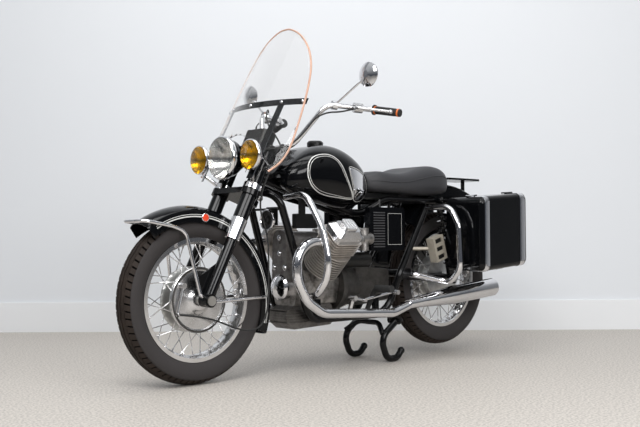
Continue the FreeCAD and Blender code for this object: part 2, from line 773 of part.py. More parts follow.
@lru_cache(maxsize=None)
def front_lamps():
    """Head lamp between the fork legs and a driving lamp on each side, on their bars."""
    head_centre = V(HEADLAMP_X, 0, HEADLAMP_Z)
    head = lamp_shell(head_centre, HEADLAMP_R, HEADLAMP_DEPTH, HEADLAMP_RIM)
    bar_x = HEADLAMP_X - HEADLAMP_DEPTH * 0.55
    leg = leg_point(HEADLAMP_Z, 1)
    parts = [head]
    for s in (1, -1):
        ear_end = V(leg.x, s * (FORK_HALF_GAP - FORK_COVER_R * 0.5), HEADLAMP_Z)
        parts.append(tube([V(bar_x, s * HEADLAMP_R * 0.6, HEADLAMP_Z), V(bar_x, s * FORK_HALF_GAP, HEADLAMP_Z),
                           ear_end], LAMP_BAR_R, FORK_COVER_R))
        spot = V(SPOT_X, s * SPOT_Y, SPOT_Z)
        parts.append(lamp_shell(spot, SPOT_R, SPOT_DEPTH, SPOT_RIM))
        parts.append(rod(V(bar_x, s * FORK_HALF_GAP, HEADLAMP_Z), spot - X * (SPOT_DEPTH * 0.55), LAMP_BAR_R))
    return fuse(parts).cut(fork_covers())


def bar_point(place, side=1):
    """Point given from the handlebar's clamp, on one side."""
    return V(BAR_CLAMP_X + place[0], side * place[1], BAR_CLAMP_Z + place[2])


def handlebar_points():
    """Left half of the handlebar's centre line, from the clamp out to the grip's end."""
    return [V(BAR_CLAMP_X, 0, BAR_CLAMP_Z)] + [bar_point(p) for p in (BAR_FOOT, BAR_SHOULDER, GRIP_IN, GRIP_OUT)]


@lru_cache(maxsize=None)
def handlebar_path_tube(radius):
    """Whole handlebar, pulled back to the grips."""
    left = handlebar_points()
    right = [V(p.x, -p.y, p.z) for p in reversed(left[1:])]
    return tube(right + left[1:], radius, BAR_BEND)


def grip_dir(side):
    """Outward direction of a grip."""
    return (bar_point(GRIP_OUT, side) - bar_point(GRIP_IN, side)).normalize()


def grips():
    """Rubber grips with end flanges."""
    def one(side):
        end = bar_point(GRIP_OUT, side)
        way = grip_dir(side)
        sleeve = rod(end - way * GRIP_L, end + way * (GRIP_R * 0.4), GRIP_R)
        flange = rod(end - way * GRIP_L, end - way * (GRIP_L - GRIP_R * 0.4), GRIP_R * 1.35)
        return fuse([sleeve, flange]).cut(handlebar_path_tube(BAR_R))
    return both(one)


@lru_cache(maxsize=None)
def hand_controls():
    """Lever perches, switch blocks and ball-end levers."""
    def one(side):
        way = grip_dir(side)
        inner = bar_point(GRIP_IN, side)
        back = (bar_point(BAR_SHOULDER, side) - inner).normalize()
        perch_at = inner + back * (BAR_R * 5)
        perch = rod(perch_at, perch_at + back * (BAR_R * 3.4), BAR_R * 1.9)
        fore = X * (BAR_R * 4.2)
        pivot = perch_at + fore
        arm = rod(perch_at + back * (BAR_R * 1.7), pivot, BAR_R * 0.9)
        lever = tube([pivot, pivot + way * (BAR_R * 3) + fore * 0.6, inner + way * GRIP_L + fore * 1.15], LEVER_R,
                     BAR_BEND)
        ball = Part.makeSphere(LEVER_R * 1.5, inner + way * GRIP_L + fore * 1.15)
        return fuse([perch, arm, lever, ball]).cut(handlebar_path_tube(BAR_R))
    return both(one)


def mirrors():
    """Round mirrors on bent stems."""
    def one(side):
        head = bar_point(MIRROR_AT, side)
        shoulder = bar_point(BAR_SHOULDER, side)
        way = (bar_point(GRIP_IN, side) - shoulder).normalize()
        root = shoulder + way * (BAR_R * 3.2)
        clamp = rod(root - way * BAR_R, root + way * BAR_R, BAR_R * 1.7)
        bend = root + (head - root) * 0.7
        stem = tube([root, bend, head - Z * (MIRROR_R * 0.2)], MIRROR_STEM_R, MIRROR_R)
        shell = turned([(-MIRROR_T * 0.2, 0), (-MIRROR_T * 0.2, MIRROR_R), (MIRROR_T * 0.2, MIRROR_R),
                        (MIRROR_T * 0.6, MIRROR_R * 0.75), (MIRROR_T, MIRROR_R * 0.3), (MIRROR_T, 0)], head, X)
        return fuse([clamp, stem, shell]).cut(handlebar_path_tube(BAR_R))
    return both(one)


def screen_sheet(front, back, low_z, top_z, half_w):
    """Bowed and raked sheet between two offsets from the windscreen's front face."""
    bow = SCREEN_BOW * (half_w / SCREEN_BOW_Y) ** 2

    def bow_arc(offset):
        x = SCREEN_X - (low_z - SCREEN_Z) * SCREEN_SLOPE - offset
        ends = [V(x - bow, s * half_w, low_z) for s in (1, -1)]
        return Part.Arc(ends[0], V(x, 0, low_z), ends[1]).toShape(), ends
    fore, (f1, f2) = bow_arc(front)
    aft, (a1, a2) = bow_arc(back)
    wire = Part.Wire([fore, Part.LineSegment(f2, a2).toShape(), aft, Part.LineSegment(a1, f1).toShape()])
    rise = top_z - low_z
    return Part.Face(wire).extrude(V(-SCREEN_SLOPE * rise, 0, rise))


def screen_outline():
    """Front outline of the windscreen, from the shares of its height and width."""
    shares = ((0.0, 0.85), (0.06, 0.96), (0.16, 1.0), (0.36, 0.965), (0.55, 0.90), (0.70, 0.81), (0.83, 0.65),
              (0.93, 0.42), (0.985, 0.18))
    height = SCREEN_TOP_Z - SCREEN_LOW_Z
    left = [V(0, w * SCREEN_HALF_W, SCREEN_LOW_Z + h * height) for h, w in shares]
    right = [V(0, -p.y, p.z) for p in left]
    curve = Part.BSplineCurve()
    curve.interpolate(left + [V(0, 0, SCREEN_TOP_Z)] + right[::-1])
    arch_w = SCREEN_ARCH_HALF_W
    spring = SCREEN_ARCH_Z - arch_w * 0.8
    legs = [V(0, s * arch_w, SCREEN_LOW_Z) for s in (1, -1)]
    tops = [V(0, s * arch_w, spring) for s in (1, -1)]
    edges = [curve.toShape(), Part.LineSegment(right[0], legs[1]).toShape(),
             Part.LineSegment(legs[1], tops[1]).toShape(),
             Part.Arc(tops[1], V(0, 0, SCREEN_ARCH_Z), tops[0]).toShape(),
             Part.LineSegment(tops[0], legs[0]).toShape(), Part.LineSegment(legs[0], left[0]).toShape()]
    return Part.Face(Part.Wire(edges))


def windscreen():
    """Clear sheet, arched over the head lamp."""
    reach = SCREEN_TOP_Z - SCREEN_LOW_Z
    sheet = screen_sheet(0, SCREEN_T, SCREEN_LOW_Z - OVERRUN, SCREEN_TOP_Z + OVERRUN, SCREEN_HALF_W + OVERRUN)
    face = screen_outline()
    face.translate(V(SCREEN_X - reach, 0, 0))
    sheet = sheet.common(face.extrude(X * (2 * reach)))
    back = SPOT_DEPTH + SPOT_RIM * 0.3
    relief = [Part.makeCylinder(SPOT_R + RUN_GAP * 6, back, V(SPOT_X - back, s * SPOT_Y, SPOT_Z), X) for s in (1, -1)]
    return sheet.cut(relief)


@lru_cache(maxsize=None)
def screen_struts():
    """Cross strap and two struts that hold the windscreen, on clamps round the fork."""
    back = SCREEN_T + RUN_GAP
    strap = screen_sheet(back, back + SCREEN_BAR_T, SCREEN_BAR_Z - SCREEN_BAR_H / 2, SCREEN_BAR_Z + SCREEN_BAR_H / 2,
                         SCREEN_HALF_W * 0.95)
    parts = [strap]
    height = SCREEN_BAR_Z - SCREEN_LOW_Z
    for s in (1, -1):
        full = screen_sheet(back, back + SCREEN_BAR_T, SCREEN_LOW_Z - STRUT_W, SCREEN_BAR_Z, SCREEN_HALF_W)
        lane = block(0, WHEELBASE, s * (STRUT_Y - STRUT_W / 2), s * (STRUT_Y + STRUT_W / 2), SCREEN_LOW_Z - STRUT_W,
                     SCREEN_BAR_Z)
        parts.append(full.common(lane))
        low_x = SCREEN_X - (SCREEN_LOW_Z - SCREEN_Z) * SCREEN_SLOPE - back - SCREEN_BOW * (STRUT_Y / SCREEN_BOW_Y) ** 2
        foot = V(low_x - SCREEN_BAR_T, s * STRUT_Y, SCREEN_LOW_Z)
        leg = leg_point(SCREEN_LOW_Z - height * 0.2, s)
        parts.append(rod(foot, leg, LAMP_BAR_R))
        parts.append(Part.makeCylinder(FORK_COVER_R + SCREEN_BAR_T * 2, STRUT_W,
                                       leg - STEER_DIR * (STRUT_W / 2), STEER_DIR))
    return fuse(parts).cut([fork_covers(), fork_yokes()])


def instruments():
    """Instrument box behind the head lamp, on the top yoke."""
    top = steer_point(TOP_YOKE_Z) + STEER_DIR * (TOP_YOKE_T / 2)
    half_w = FORK_HALF_GAP * 0.75
    deep = HEADLAMP_RIM * 3.4
    fore = V(STEER_DIR.z, 0, -STEER_DIR.x)
    base = top + fore * (FORK_COVER_R * 1.6)
    corners = [base - Y * half_w - fore * deep * 0.35, base + Y * half_w - fore * deep * 0.35,
               base + Y * half_w + fore * deep * 0.55, base - Y * half_w + fore * deep * 0.55]
    box = slab(corners, half_w * 0.4, STEER_DIR * (deep * 0.95))
    legs = [rod(leg_point(TOP_YOKE_Z, s), leg_point(TOP_YOKE_Z, s) + STEER_DIR * (TOP_YOKE_T * 2), FORK_COVER_R)
            for s in (1, -1)]
    nut = Part.makeCylinder(CAP_NUT_R + RUN_GAP, CAP_NUT_H * 2, top - STEER_DIR * CAP_NUT_H, STEER_DIR)
    return box.cut(legs + [nut])


def cord(points, radius):
    """Bent round cord: a smooth line through the points, laid as even short runs with tangent arcs."""
    line = Part.BSplineCurve()
    line.interpolate(points)
    count = max(3, round(line.length() / CABLE_RUN) + 1)
    stops = line.discretize(Number=count)
    turns = []
    for before, here, after in zip(stops, stops[1:], stops[2:]):
        half_turn = (after - here).getAngle(here - before) / 2
        turns.append(0.45 * min((here - before).Length, (after - here).Length) / math.tan(max(half_turn, 1e-3)))
    print("smallest bend radius of a cord, mm:", round(min(turns), 1), "at a diameter of", 2 * radius)
    return tube(stops, radius, max(turns))


def control_cables():
    """Front brake cable from its lever end to the handlebar, and a wiring loom on each side to the head lamp."""
    lever = brake_lever_end()
    route = [lever] + [FRONT_AXLE + V(*p) for p in BRAKE_CABLE]
    cables = [cord(route, CABLE_R)]
    for s in (1, -1):
        cables.append(cord([bar_point(p, s) for p in LOOM], CABLE_R))
    return Part.makeCompound([c.cut([front_brake(), hand_controls(), front_lamps(), fork_yokes(), screen_struts(),
                                     handlebar_path_tube(BAR_R)]) for c in cables])


# Frame and rear end

def head_ends():
    """Lower and upper end of the steering head."""
    return (steer_point(LOW_YOKE_Z) + STEER_DIR * (YOKE_T / 2 + HEAD_GAP),
            steer_point(TOP_YOKE_Z) - STEER_DIR * (TOP_YOKE_T / 2 + HEAD_GAP))


def down_tube(side):
    """Centre line of a down tube, from the steering head to beside the crankcase."""
    head_low, head_top = head_ends()
    neck = head_low + (head_top - head_low) * 0.2
    return [neck, V(neck.x - HEAD_TUBE_R * 2.4, side * DOWN_TUBE_Y * 0.9, LOW_YOKE_Z + YOKE_T),
            V(DOWN_TUBE_X, side * DOWN_TUBE_Y, CRANK_Z + BARREL_START)]


@lru_cache(maxsize=None)
def frame():
    """Duplex loop frame with its steering head."""
    head_low, head_top = head_ends()
    head = rod(head_low, head_top, HEAD_TUBE_R)
    high = head_low + (head_top - head_low) * 0.55
    parts = [head]
    for s in (1, -1):
        loop = down_tube(s) + [V(DOWN_TUBE_X - CRADLE_Y * 0.55, s * (DOWN_TUBE_Y - FRAME_TUBE_R * 0.4), CASE_LOW_Z),
                V(DOWN_TUBE_X - CRADLE_Y * 1.3, s * CRADLE_Y, CRADLE_Z),
                V(STAND_X + STAND_R * 2, s * CRADLE_Y, CRADLE_Z),
                V(SWING_PIVOT_X + PIVOT_SETBACK, s * PIVOT_LUG_Y, SWING_PIVOT_Z),
                V(SHOCK_TOP[0] + FRAME_TUBE_R * 2, s * RAIL_Y, SHOCK_TOP[1] - FRAME_TUBE_R * 2)]
        parts.append(tube(loop, FRAME_TUBE_R, FRAME_BEND))
        rail = [high, V(TANK_REAR_X + OVERRUN, s * RAIL_Y * 0.6, RAIL_Z - TANK_CAP_R * 2),
                V(BOX_FRONT_X - BOX_OUT_Y, s * RAIL_Y, RAIL_Z), V(RAIL_END_X, s * RAIL_Y, RAIL_Z)]
        parts.append(tube(rail, FRAME_TUBE_R, FRAME_BEND))
        top = V(SHOCK_TOP[0], s * RAIL_Y, SHOCK_TOP[1])
        parts.append(rod(top, top + Y * (s * (SHOCK_Y - RAIL_Y + SHOCK_EYE_R)), PIVOT_R))
        lug = V(STAND_X, s * CRADLE_Y, STAND_Z)
        parts.append(slab([lug + V(-STAND_R * 1.6, 0, -STAND_R), lug + V(STAND_R * 1.6, 0, -STAND_R),
                           lug + V(STAND_R * 1.6, 0, STAND_R * 2), lug + V(-STAND_R * 1.6, 0, STAND_R * 2)], STAND_R,
                          Y * (s * FRAME_TUBE_R)))
        parts.append(rod(lug, lug + Y * (s * (STAND_Y - CRADLE_Y + STAND_R * 2)), STAND_PIN_R))
        pivot = V(SWING_PIVOT_X, s * PIVOT_LUG_Y, SWING_PIVOT_Z)
        plate = [pivot + V(-PIVOT_R * 1.8, 0, -PIVOT_R * 1.8), pivot + V(PIVOT_SETBACK, 0, -PIVOT_R * 2.4),
                 pivot + V(PIVOT_SETBACK, 0, PIVOT_R * 2.4), pivot + V(-PIVOT_R * 1.8, 0, PIVOT_R * 1.8)]
        parts.append(slab(plate, PIVOT_R, Y * (s * PIVOT_LUG_T)))
        guard = V(SHOCK_TOP[0] + PIVOT_SETBACK, s * RAIL_Y, SHOCK_TOP[1] - PIVOT_SETBACK * 1.15)
        parts.append(rod(V(guard.x, s * (REAR_FENDER_HALF_W + RUN_GAP), guard.z), guard, PIVOT_R * 0.7))
        for x in (BOX_FRONT_X - BOX_IN_Y, BOX_REAR_X + FRAME_TUBE_R * 3):
            hook = V(x, s * RAIL_Y, BOX_TOP_Z - FRAME_TUBE_R * 2)
            parts.append(rod(V(x, hook.y, RAIL_Z), hook - Z * HANGER_R, HANGER_R))
            parts.append(rod(hook, V(x, s * BOX_IN_Y, hook.z), HANGER_R * 0.9))
        for x in EAR_X:
            parts.append(block(x - EAR_T, x + EAR_T, s * SUMP_HALF_W * 0.95, s * CRADLE_Y, CRADLE_Z,
                               CASE_LOW_Z + EAR_T))
    for x, z, y in ((STAND_X + STAND_R * 2, CRADLE_Z, CRADLE_Y), (BOX_REAR_X - PIVOT_SETBACK, RAIL_Z, RAIL_Y),
                    (SWING_PIVOT_X, SWING_PIVOT_Z, PIVOT_LUG_Y)):
        parts.append(rod(V(x, -y, z), V(x, y, z), PIVOT_R))
    bore = rod(head_low - STEER_DIR * OVERRUN, head_top + STEER_DIR * OVERRUN, STEM_R + SHAFT_GAP)
    return fuse(parts).cut([bore, crankcase(), gearbox(), sump()])


@lru_cache(maxsize=None)
def swingarm():
    """Rear fork: plain left arm, shaft tube on the right, cross tube and axle lug."""
    inner_y = TYRE_HALF_W + RUN_GAP * 12
    pivot_l = V(SWING_PIVOT_X, inner_y, SWING_PIVOT_Z)
    pivot_r = V(SWING_PIVOT_X, -(inner_y + SWING_RIGHT_R), SWING_PIVOT_Z)
    left_end = REAR_AXLE + Y * SWING_LEFT_Y
    left_mid = V(TYRE_R * 0.86, SWING_LEFT_Y, (SWING_PIVOT_Z + REAR_AXLE.z) / 2)
    right_end = V(DRIVE_BOX_R * 0.7, -SWING_RIGHT_Y, REAR_AXLE.z + SWING_LEFT_R * 0.4)
    parts = [tube([left_end, left_mid, pivot_l], SWING_LEFT_R, SWING_RIGHT_R * 2),
             rod(right_end, pivot_r, SWING_RIGHT_R), rod(pivot_l, pivot_r, SWING_LEFT_R * 0.96),
             rod(pivot_l - Y * SWING_LEFT_R, pivot_l + Y * SWING_LEFT_R, SWING_LEFT_R * 1.04),
             rod(pivot_r - Y * SWING_RIGHT_R * 0.9, pivot_r + Y * SWING_RIGHT_R * 0.9, SWING_LEFT_R * 1.04),
             Part.makeCylinder(AXLE_LUG_R, SWING_LEFT_R * 1.8, left_end - Y * (SWING_LEFT_R * 0.9), Y)]
    for s in (1, -1):
        eye = V(SHOCK_FOOT[0], s * SWING_LEFT_Y, SHOCK_FOOT[1])
        parts.append(rod(eye, V(eye.x, s * (SHOCK_Y + SHOCK_EYE_R), eye.z), PIVOT_R))
    return fuse(parts).cut([rear_axle(), drive_box(), frame()])


@lru_cache(maxsize=None)
def rear_axle():
    """Rear axle with its nut on the left."""
    left = SWING_LEFT_Y + SWING_LEFT_R
    right = SWING_RIGHT_Y - DRIVE_BOX_W / 2
    bar = rod(REAR_AXLE - Y * right, REAR_AXLE + Y * (left + HUB_LIP * 2), AXLE_R)
    nut = rod(REAR_AXLE + Y * left, REAR_AXLE + Y * (left + HUB_LIP), SPINDLE_R)
    spacer = rod(REAR_AXLE + Y * (HUB_BOSS_HALF_W + BRAKE_GAP), REAR_AXLE + Y * (SWING_LEFT_Y - SWING_LEFT_R), SPINDLE_R)
    return fuse([bar, nut, spacer])


@lru_cache(maxsize=None)
def drive_box():
    """Bevel drive housing on the right of the rear wheel."""
    y = -SWING_RIGHT_Y
    w = DRIVE_BOX_W / 2
    r = DRIVE_BOX_R
    profile = [(y + w, 0), (y + w, r * 0.86), (y + w * 0.7, r), (y - w * 0.3, r), (y - w, r * 0.62),
               (y - w * 1.25, r * 0.34), (y - w * 1.25, 0)]
    return turned(profile, REAR_AXLE, Y)


def final_drive():
    """Bevel drive housing with its flange and the brake plate behind the hub."""
    box = drive_box()
    y0 = -(HUB_HALF_W + BRAKE_GAP)
    y1 = -(SWING_RIGHT_Y - DRIVE_BOX_W / 2)
    plate = turned([(y0, HUB_BOSS_R + BRAKE_GAP), (y0, REAR_DRUM_R), (y0 - BRAKE_PLATE_T, REAR_DRUM_R - HUB_LIP),
                    (y1, DRIVE_BOX_R * 0.86), (y1, HUB_BOSS_R + BRAKE_GAP)], REAR_AXLE, Y)
    return fuse([box, plate]).cut(rear_axle())


def rear_shocks():
    """Spring legs between the frame and the swingarm."""
    def one(side):
        top = V(SHOCK_TOP[0], side * SHOCK_Y, SHOCK_TOP[1])
        foot = V(SHOCK_FOOT[0], side * SHOCK_Y, SHOCK_FOOT[1])
        length = (top - foot).Length
        wire = SHOCK_ROD_R * 0.45
        profile = [(SHOCK_EYE_R * 0.5, 0), (SHOCK_EYE_R * 0.5, SHOCK_ROD_R * 1.3), (SHOCK_EYE_R * 1.3, SHOCK_ROD_R * 1.3),
                   (SHOCK_EYE_R * 1.3, SHOCK_BODY_R)]
        for i in range(SHOCK_COILS):
            at = length * (0.2 + 0.6 * i / (SHOCK_COILS - 1))
            inner = SHOCK_BODY_R if 2 * i < SHOCK_COILS else SHOCK_ROD_R
            profile += [(at - wire, inner), (at - wire, SHOCK_SPRING_R), (at + wire, SHOCK_SPRING_R), (at + wire, inner)]
        profile += [(length * 0.84, SHOCK_ROD_R), (length * 0.84, SHOCK_BODY_R), (length - SHOCK_EYE_R * 1.3, SHOCK_BODY_R),
                    (length - SHOCK_EYE_R * 1.3, SHOCK_ROD_R * 1.3), (length - SHOCK_EYE_R * 0.5, SHOCK_ROD_R * 1.3),
                    (length - SHOCK_EYE_R * 0.5, 0)]
        parts = [turned(profile, foot, top - foot)]
        for eye in (top, foot):
            parts.append(rod(eye - Y * SHOCK_EYE_R, eye + Y * SHOCK_EYE_R, SHOCK_EYE_R))
        holes = [rod(eye - Y * OVERRUN, eye + Y * OVERRUN, PIVOT_R + SHAFT_GAP) for eye in (top, foot)]
        return fuse(parts).cut(holes)
    return both(one)


# Engine

def cyl_x(side):
    """Fore-and-aft place of a cylinder."""
    return CYL_X_LEFT if side > 0 else CYL_X_RIGHT


def cyl_dir(side):
    """Outward direction of a cylinder."""
    a = math.radians(CYL_ANGLE_DEG)
    return V(0, side * math.sin(a), math.cos(a))


def cyl_point(side, reach):
    """Point on a cylinder's centre line."""
    return V(cyl_x(side), 0, CRANK_Z) + cyl_dir(side) * reach


@lru_cache(maxsize=None)
def crankcase():
    """Crankcase with its two cylinder decks."""
    low, w = CASE_LOW_Z, CASE_HALF_W
    deck = CASE_DECK * math.sqrt(2)
    crest = w * 0.3
    half = [V(0, SUMP_HALF_W, SUMP_LOW_Z + (low - SUMP_LOW_Z) * 0.9), V(0, w * 0.9, low + (CRANK_Z - low) * 0.4),
            V(0, w, CRANK_Z), V(0, w, CRANK_Z + deck - w), V(0, crest, CRANK_Z + deck - crest)]
    outline = half + [V(0, -p.y, p.z) for p in reversed(half)]
    for p in outline:
        p.x = CASE_REAR_X
    core = slab(outline, BARREL_START * 0.1, X * (CASE_FRONT_X - CASE_REAR_X))
    decks = [rod(cyl_point(s, BARREL_START * 0.2), cyl_point(s, BARREL_START), BARREL_R * 1.28) for s in (1, -1)]
    dynamo_seat = block(CASE_FRONT_X - DYNAMO_L, CASE_FRONT_X, -DYNAMO_R * 0.5, DYNAMO_R * 0.5,
                        CRANK_Z + deck - w, DYNAMO_Z - DYNAMO_R * 0.5)
    return fuse([core, dynamo_seat] + decks).cut(dynamo())


@lru_cache(maxsize=None)
def dynamo():
    """Generator in the V above the crankcase."""
    return Part.makeCylinder(DYNAMO_R, DYNAMO_L, V(CASE_FRONT_X - DYNAMO_L, 0, DYNAMO_Z), X)


def timing_cover():
    """Tall belt cover on the front of the engine with its bright round dome."""
    w = COVER_HALF_W
    x = CASE_FRONT_X
    corners = [V(x, w, COVER_LOW_Z), V(x, w, CRANK_Z + w), V(x, w * 0.82, COVER_TOP_Z), V(x, -w * 0.82, COVER_TOP_Z),
               V(x, -w, CRANK_Z + w), V(x, -w, COVER_LOW_Z)]
    plate = slab(corners, w * 0.8, X * (COVER_FRONT_X - CASE_FRONT_X))
    face = COVER_FRONT_X
    r, h, deep = DOME_R, DOME_H, COVER_FRONT_X - CASE_FRONT_X
    dome = turned([(0, 0), (0, r), (deep, r), (deep + h * 0.45, r * 0.84), (deep + h * 0.85, r * 0.5), (deep + h, r * 0.2),
                   (deep + h, 0)], V(CASE_FRONT_X, 0, CRANK_Z), X)
    bolts = [Part.makeCylinder(HUB_LIP, HUB_LIP, V(face, 0, z), X) for z in (COVER_TOP_Z - HUB_LIP * 2, DYNAMO_Z)]
    return fuse([plate, dome, dynamo()] + bolts)


@lru_cache(maxsize=None)
def sump():
    """Ribbed oil pan."""
    z1 = SUMP_LOW_Z + (CASE_LOW_Z - SUMP_LOW_Z) * 0.9
    w = SUMP_HALF_W
    low, drop = SUMP_LOW_Z, (CASE_LOW_Z - SUMP_LOW_Z) * 0.2
    side = [V(SUMP_REAR_X, 0, z1), V(CASE_FRONT_X, 0, z1), V(SUMP_FRONT_X, 0, z1 - drop),
            V(SUMP_FRONT_X, 0, low + drop * 1.4), V(CASE_FRONT_X, 0, low), V(SUMP_REAR_X, 0, low + drop * 0.4)]
    for p in side:
        p.y = -w * 0.9
    parts = [slab(side, drop * 0.8, Y * (w * 1.8))]
    for i in range(SUMP_FINS):
        z = low + drop * 1.2 + (z1 - low - drop * 2.0) * i / (SUMP_FINS - 1)
        parts.append(block(SUMP_REAR_X + drop, SUMP_FRONT_X + FIN_T, -w, w, z, z + FIN_T))
    return fuse(parts)


def barrels():
    """Finned cylinder barrels."""
    def one(side):
        way = cyl_dir(side)
        parts = [rod(cyl_point(side, BARREL_START), cyl_point(side, BARREL_END), BARREL_R)]
        pitch = (BARREL_END - BARREL_START) / BARREL_FINS
        for i in range(BARREL_FINS):
            at = cyl_point(side, BARREL_START + pitch * (i + 0.5))
            parts.append(rod(at, at + way * FIN_T, BARREL_FIN_R))
        return fuse(parts)
    return both(one)


def tilted_outline(side, reach, half_x, half_w, round_r):
    """Rounded rectangle set square on a cylinder's centre line."""
    across = cyl_dir(side).cross(X)
    at = cyl_point(side, reach)
    corners = [at + X * (a * half_x) + across * (b * half_w) for a, b in ((1, 1), (-1, 1), (-1, -1), (1, -1))]
    return Part.Wire(bend_edges(corners, round_r, closed=True))


def tilted_block(side, reach0, reach1, half_x, half_w, round_r):
    """Rounded block set square on a cylinder's centre line."""
    face = Part.Face(tilted_outline(side, reach0, half_x, half_w, round_r))
    return face.extrude(cyl_dir(side) * (reach1 - reach0))


@lru_cache(maxsize=None)
def cylinder_heads():
    """Finned heads with the exhaust port in front and the inlet port behind."""
    def one(side):
        parts = [tilted_block(side, BARREL_END, HEAD_END, HEAD_HALF_X * 0.8, HEAD_HALF_W * 0.8, ROCKER_ROUND)]
        pitch = (HEAD_END - BARREL_END) / HEAD_FINS
        for i in range(HEAD_FINS):
            r0 = BARREL_END + pitch * i
            parts.append(tilted_block(side, r0 + pitch - FIN_T, r0 + pitch, HEAD_HALF_X, HEAD_HALF_W, ROCKER_ROUND))
        mid = cyl_point(side, (BARREL_END + HEAD_END) / 2)
        parts.append(rod(mid, V(CYL_X_LEFT + HEAD_HALF_X * 1.16, mid.y, mid.z), PIPE_R * 1.4))
        parts.append(rod(mid, V(CYL_X_RIGHT - HEAD_HALF_X * 1.16, mid.y, mid.z), CARB_R * 0.9))
        return fuse(parts).cut(header_pipe(side))
    return both(one)


def rocker_covers():
    """Polished rocker covers: a square skirt, sloped shoulders and a ribbed hump, with the oil line behind."""
    def one(side):
        h, hx, hw = ROCKER_H, ROCKER_HALF_X, ROCKER_HALF_W
        skirt = tilted_block(side, HEAD_END, HEAD_END + h * 0.42, hx, hw, ROCKER_ROUND)
        low = tilted_outline(side, HEAD_END + h * 0.42, hx, hw, ROCKER_ROUND)
        high = tilted_outline(side, HEAD_END + h * 0.78, hx * 0.72, hw * 0.66, ROCKER_ROUND)
        hump = tilted_block(side, HEAD_END, HEAD_END + h, hx * 0.46, hw * 0.6, ROCKER_ROUND)
        parts = [skirt, Part.makeLoft([low, high], True, True), hump]
        way = cyl_dir(side)
        for i in range(ROCKER_RIBS):
            x = hx * 0.3 * (2 * i / (ROCKER_RIBS - 1) - 1)
            at = cyl_point(side, HEAD_END + h) + X * x
            across = way.cross(X) * (hw * 0.5)
            parts.append(rod(at - across, at + across, FIN_T * 0.6))
        rear = cyl_point(side, HEAD_END + h * 0.6) - X * (hx * 0.6)
        loop = [rear, rear - X * hx * 0.72, rear - X * hx * 0.72 - way * h * 0.9, rear - way * h * 0.9]
        parts.append(tube(loop, OIL_LINE_R, hx * 0.4))
        return fuse(parts).cut([cylinder_heads(), carburettors()])
    return both(one)


@lru_cache(maxsize=None)
def gearbox():
    """Bell housing and gearbox."""
    centre = V(CASE_REAR_X, 0, CRANK_Z)
    bell = turned([(0, 0), (0, BELL_R), (-BELL_R * 0.2, BELL_R), (-BELL_R * 1.1, BELL_R * 0.72),
                   (-BELL_R * 1.3, BELL_R * 0.7), (-BELL_R * 1.3, 0)], centre, X)
    w = GEARBOX_HALF_W
    x1 = CASE_REAR_X - BELL_R
    side = [V(x1, -w, GEARBOX_LOW_Z), V(x1, -w, GEARBOX_TOP_Z), V(GEARBOX_REAR_X, -w, GEARBOX_TOP_Z - FIN_T * 6),
            V(GEARBOX_REAR_X, -w, GEARBOX_LOW_Z + FIN_T * 6)]
    box = slab(side, ROCKER_ROUND, Y * (2 * w))
    return fuse([bell, box])


def starter():
    """Starter motor on the left of the bell housing."""
    front = V(CASE_REAR_X + STARTER_L * 0.1, STARTER_Y, STARTER_Z)
    rear = front - X * STARTER_L
    body = rod(rear, front, STARTER_R)
    foot = rod(front - X * STARTER_L * 0.2, front + X * STARTER_L * 0.04, STARTER_R * 0.6)
    lug = slab([V(CASE_REAR_X, 0, CRANK_Z + BELL_R * 0.5), V(CASE_REAR_X, STARTER_Y - STARTER_R * 0.5, STARTER_Z),
                V(CASE_REAR_X, STARTER_Y, STARTER_Z - STARTER_R * 0.5), V(CASE_REAR_X, BELL_R * 0.5, CRANK_Z)],
               STARTER_R * 0.3, X * (HUB_LIP * 2))
    return fuse([body, foot, lug.cut(crankcase())])


@lru_cache(maxsize=None)
def carburettors():
    """Carburettors behind the heads on their inlet stubs, with intake hoses to the air box."""
    def one(side):
        mid = cyl_point(side, (BARREL_END + HEAD_END) / 2)
        port = V(CYL_X_RIGHT - HEAD_HALF_X * 1.16, mid.y, mid.z)
        body = V(CARB_X, side * CARB_Y, CARB_Z)
        parts = [tube([port, port - X * CARB_R, body + X * CARB_R, body], CARB_R * 0.8, CARB_R * 2),
                 rod(body, body - X * (CARB_R * 2.6), CARB_R),
                 rod(body - X * CARB_R - Z * (CARB_R * 2), body - X * CARB_R + Z * (CARB_R * 1.8), CARB_R * 0.9)]
        return fuse(parts)
    return both(one)


@lru_cache(maxsize=None)
def header_pipe(side):
    """Exhaust header, swept forward, down and back to the muffler's mouth."""
    mid = cyl_point(side, (BARREL_END + HEAD_END) / 2)
    y = side * PIPE_Y
    port = V(CYL_X_LEFT + HEAD_HALF_X * 1.05, mid.y, mid.z)
    level = PIPE_Z + PIPE_RISE
    points = [port] + [V(port.x + (PIPE_FRONT_X - port.x) * a, y, mid.z + (level - mid.z) * b) for a, b in HEADER_SHARES]
    points += [V(MUFFLER_FRONT_X + PIPE_R * 5, y, PIPE_Z), V(MUFFLER_FRONT_X - PIPE_R, y, MUFFLER_FRONT_Z)]
    return tube(points, PIPE_R, PIPE_BEND)


def mufflers():
    """Long mufflers with a tapered front and a rounded end."""
    def one(side):
        front = V(MUFFLER_FRONT_X, side * PIPE_Y, MUFFLER_FRONT_Z)
        rear = V(MUFFLER_REAR_X, side * PIPE_Y, MUFFLER_REAR_Z)
        length = (rear - front).Length
        cone = length * (MUFFLER_FRONT_X - MUFFLER_CONE_X) / (MUFFLER_FRONT_X - MUFFLER_REAR_X)
        r = MUFFLER_R
        shell = turned([(0, 0), (0, PIPE_R * 1.15), (cone * 0.15, PIPE_R * 1.2), (cone, r), (length - r * 0.5, r),
                        (length - r * 0.14, r * 0.86), (length, r * 0.5), (length, 0)], front, rear - front)
        return shell.cut(header_pipe(side))
    return both(one)


# Tank, seat and side boxes

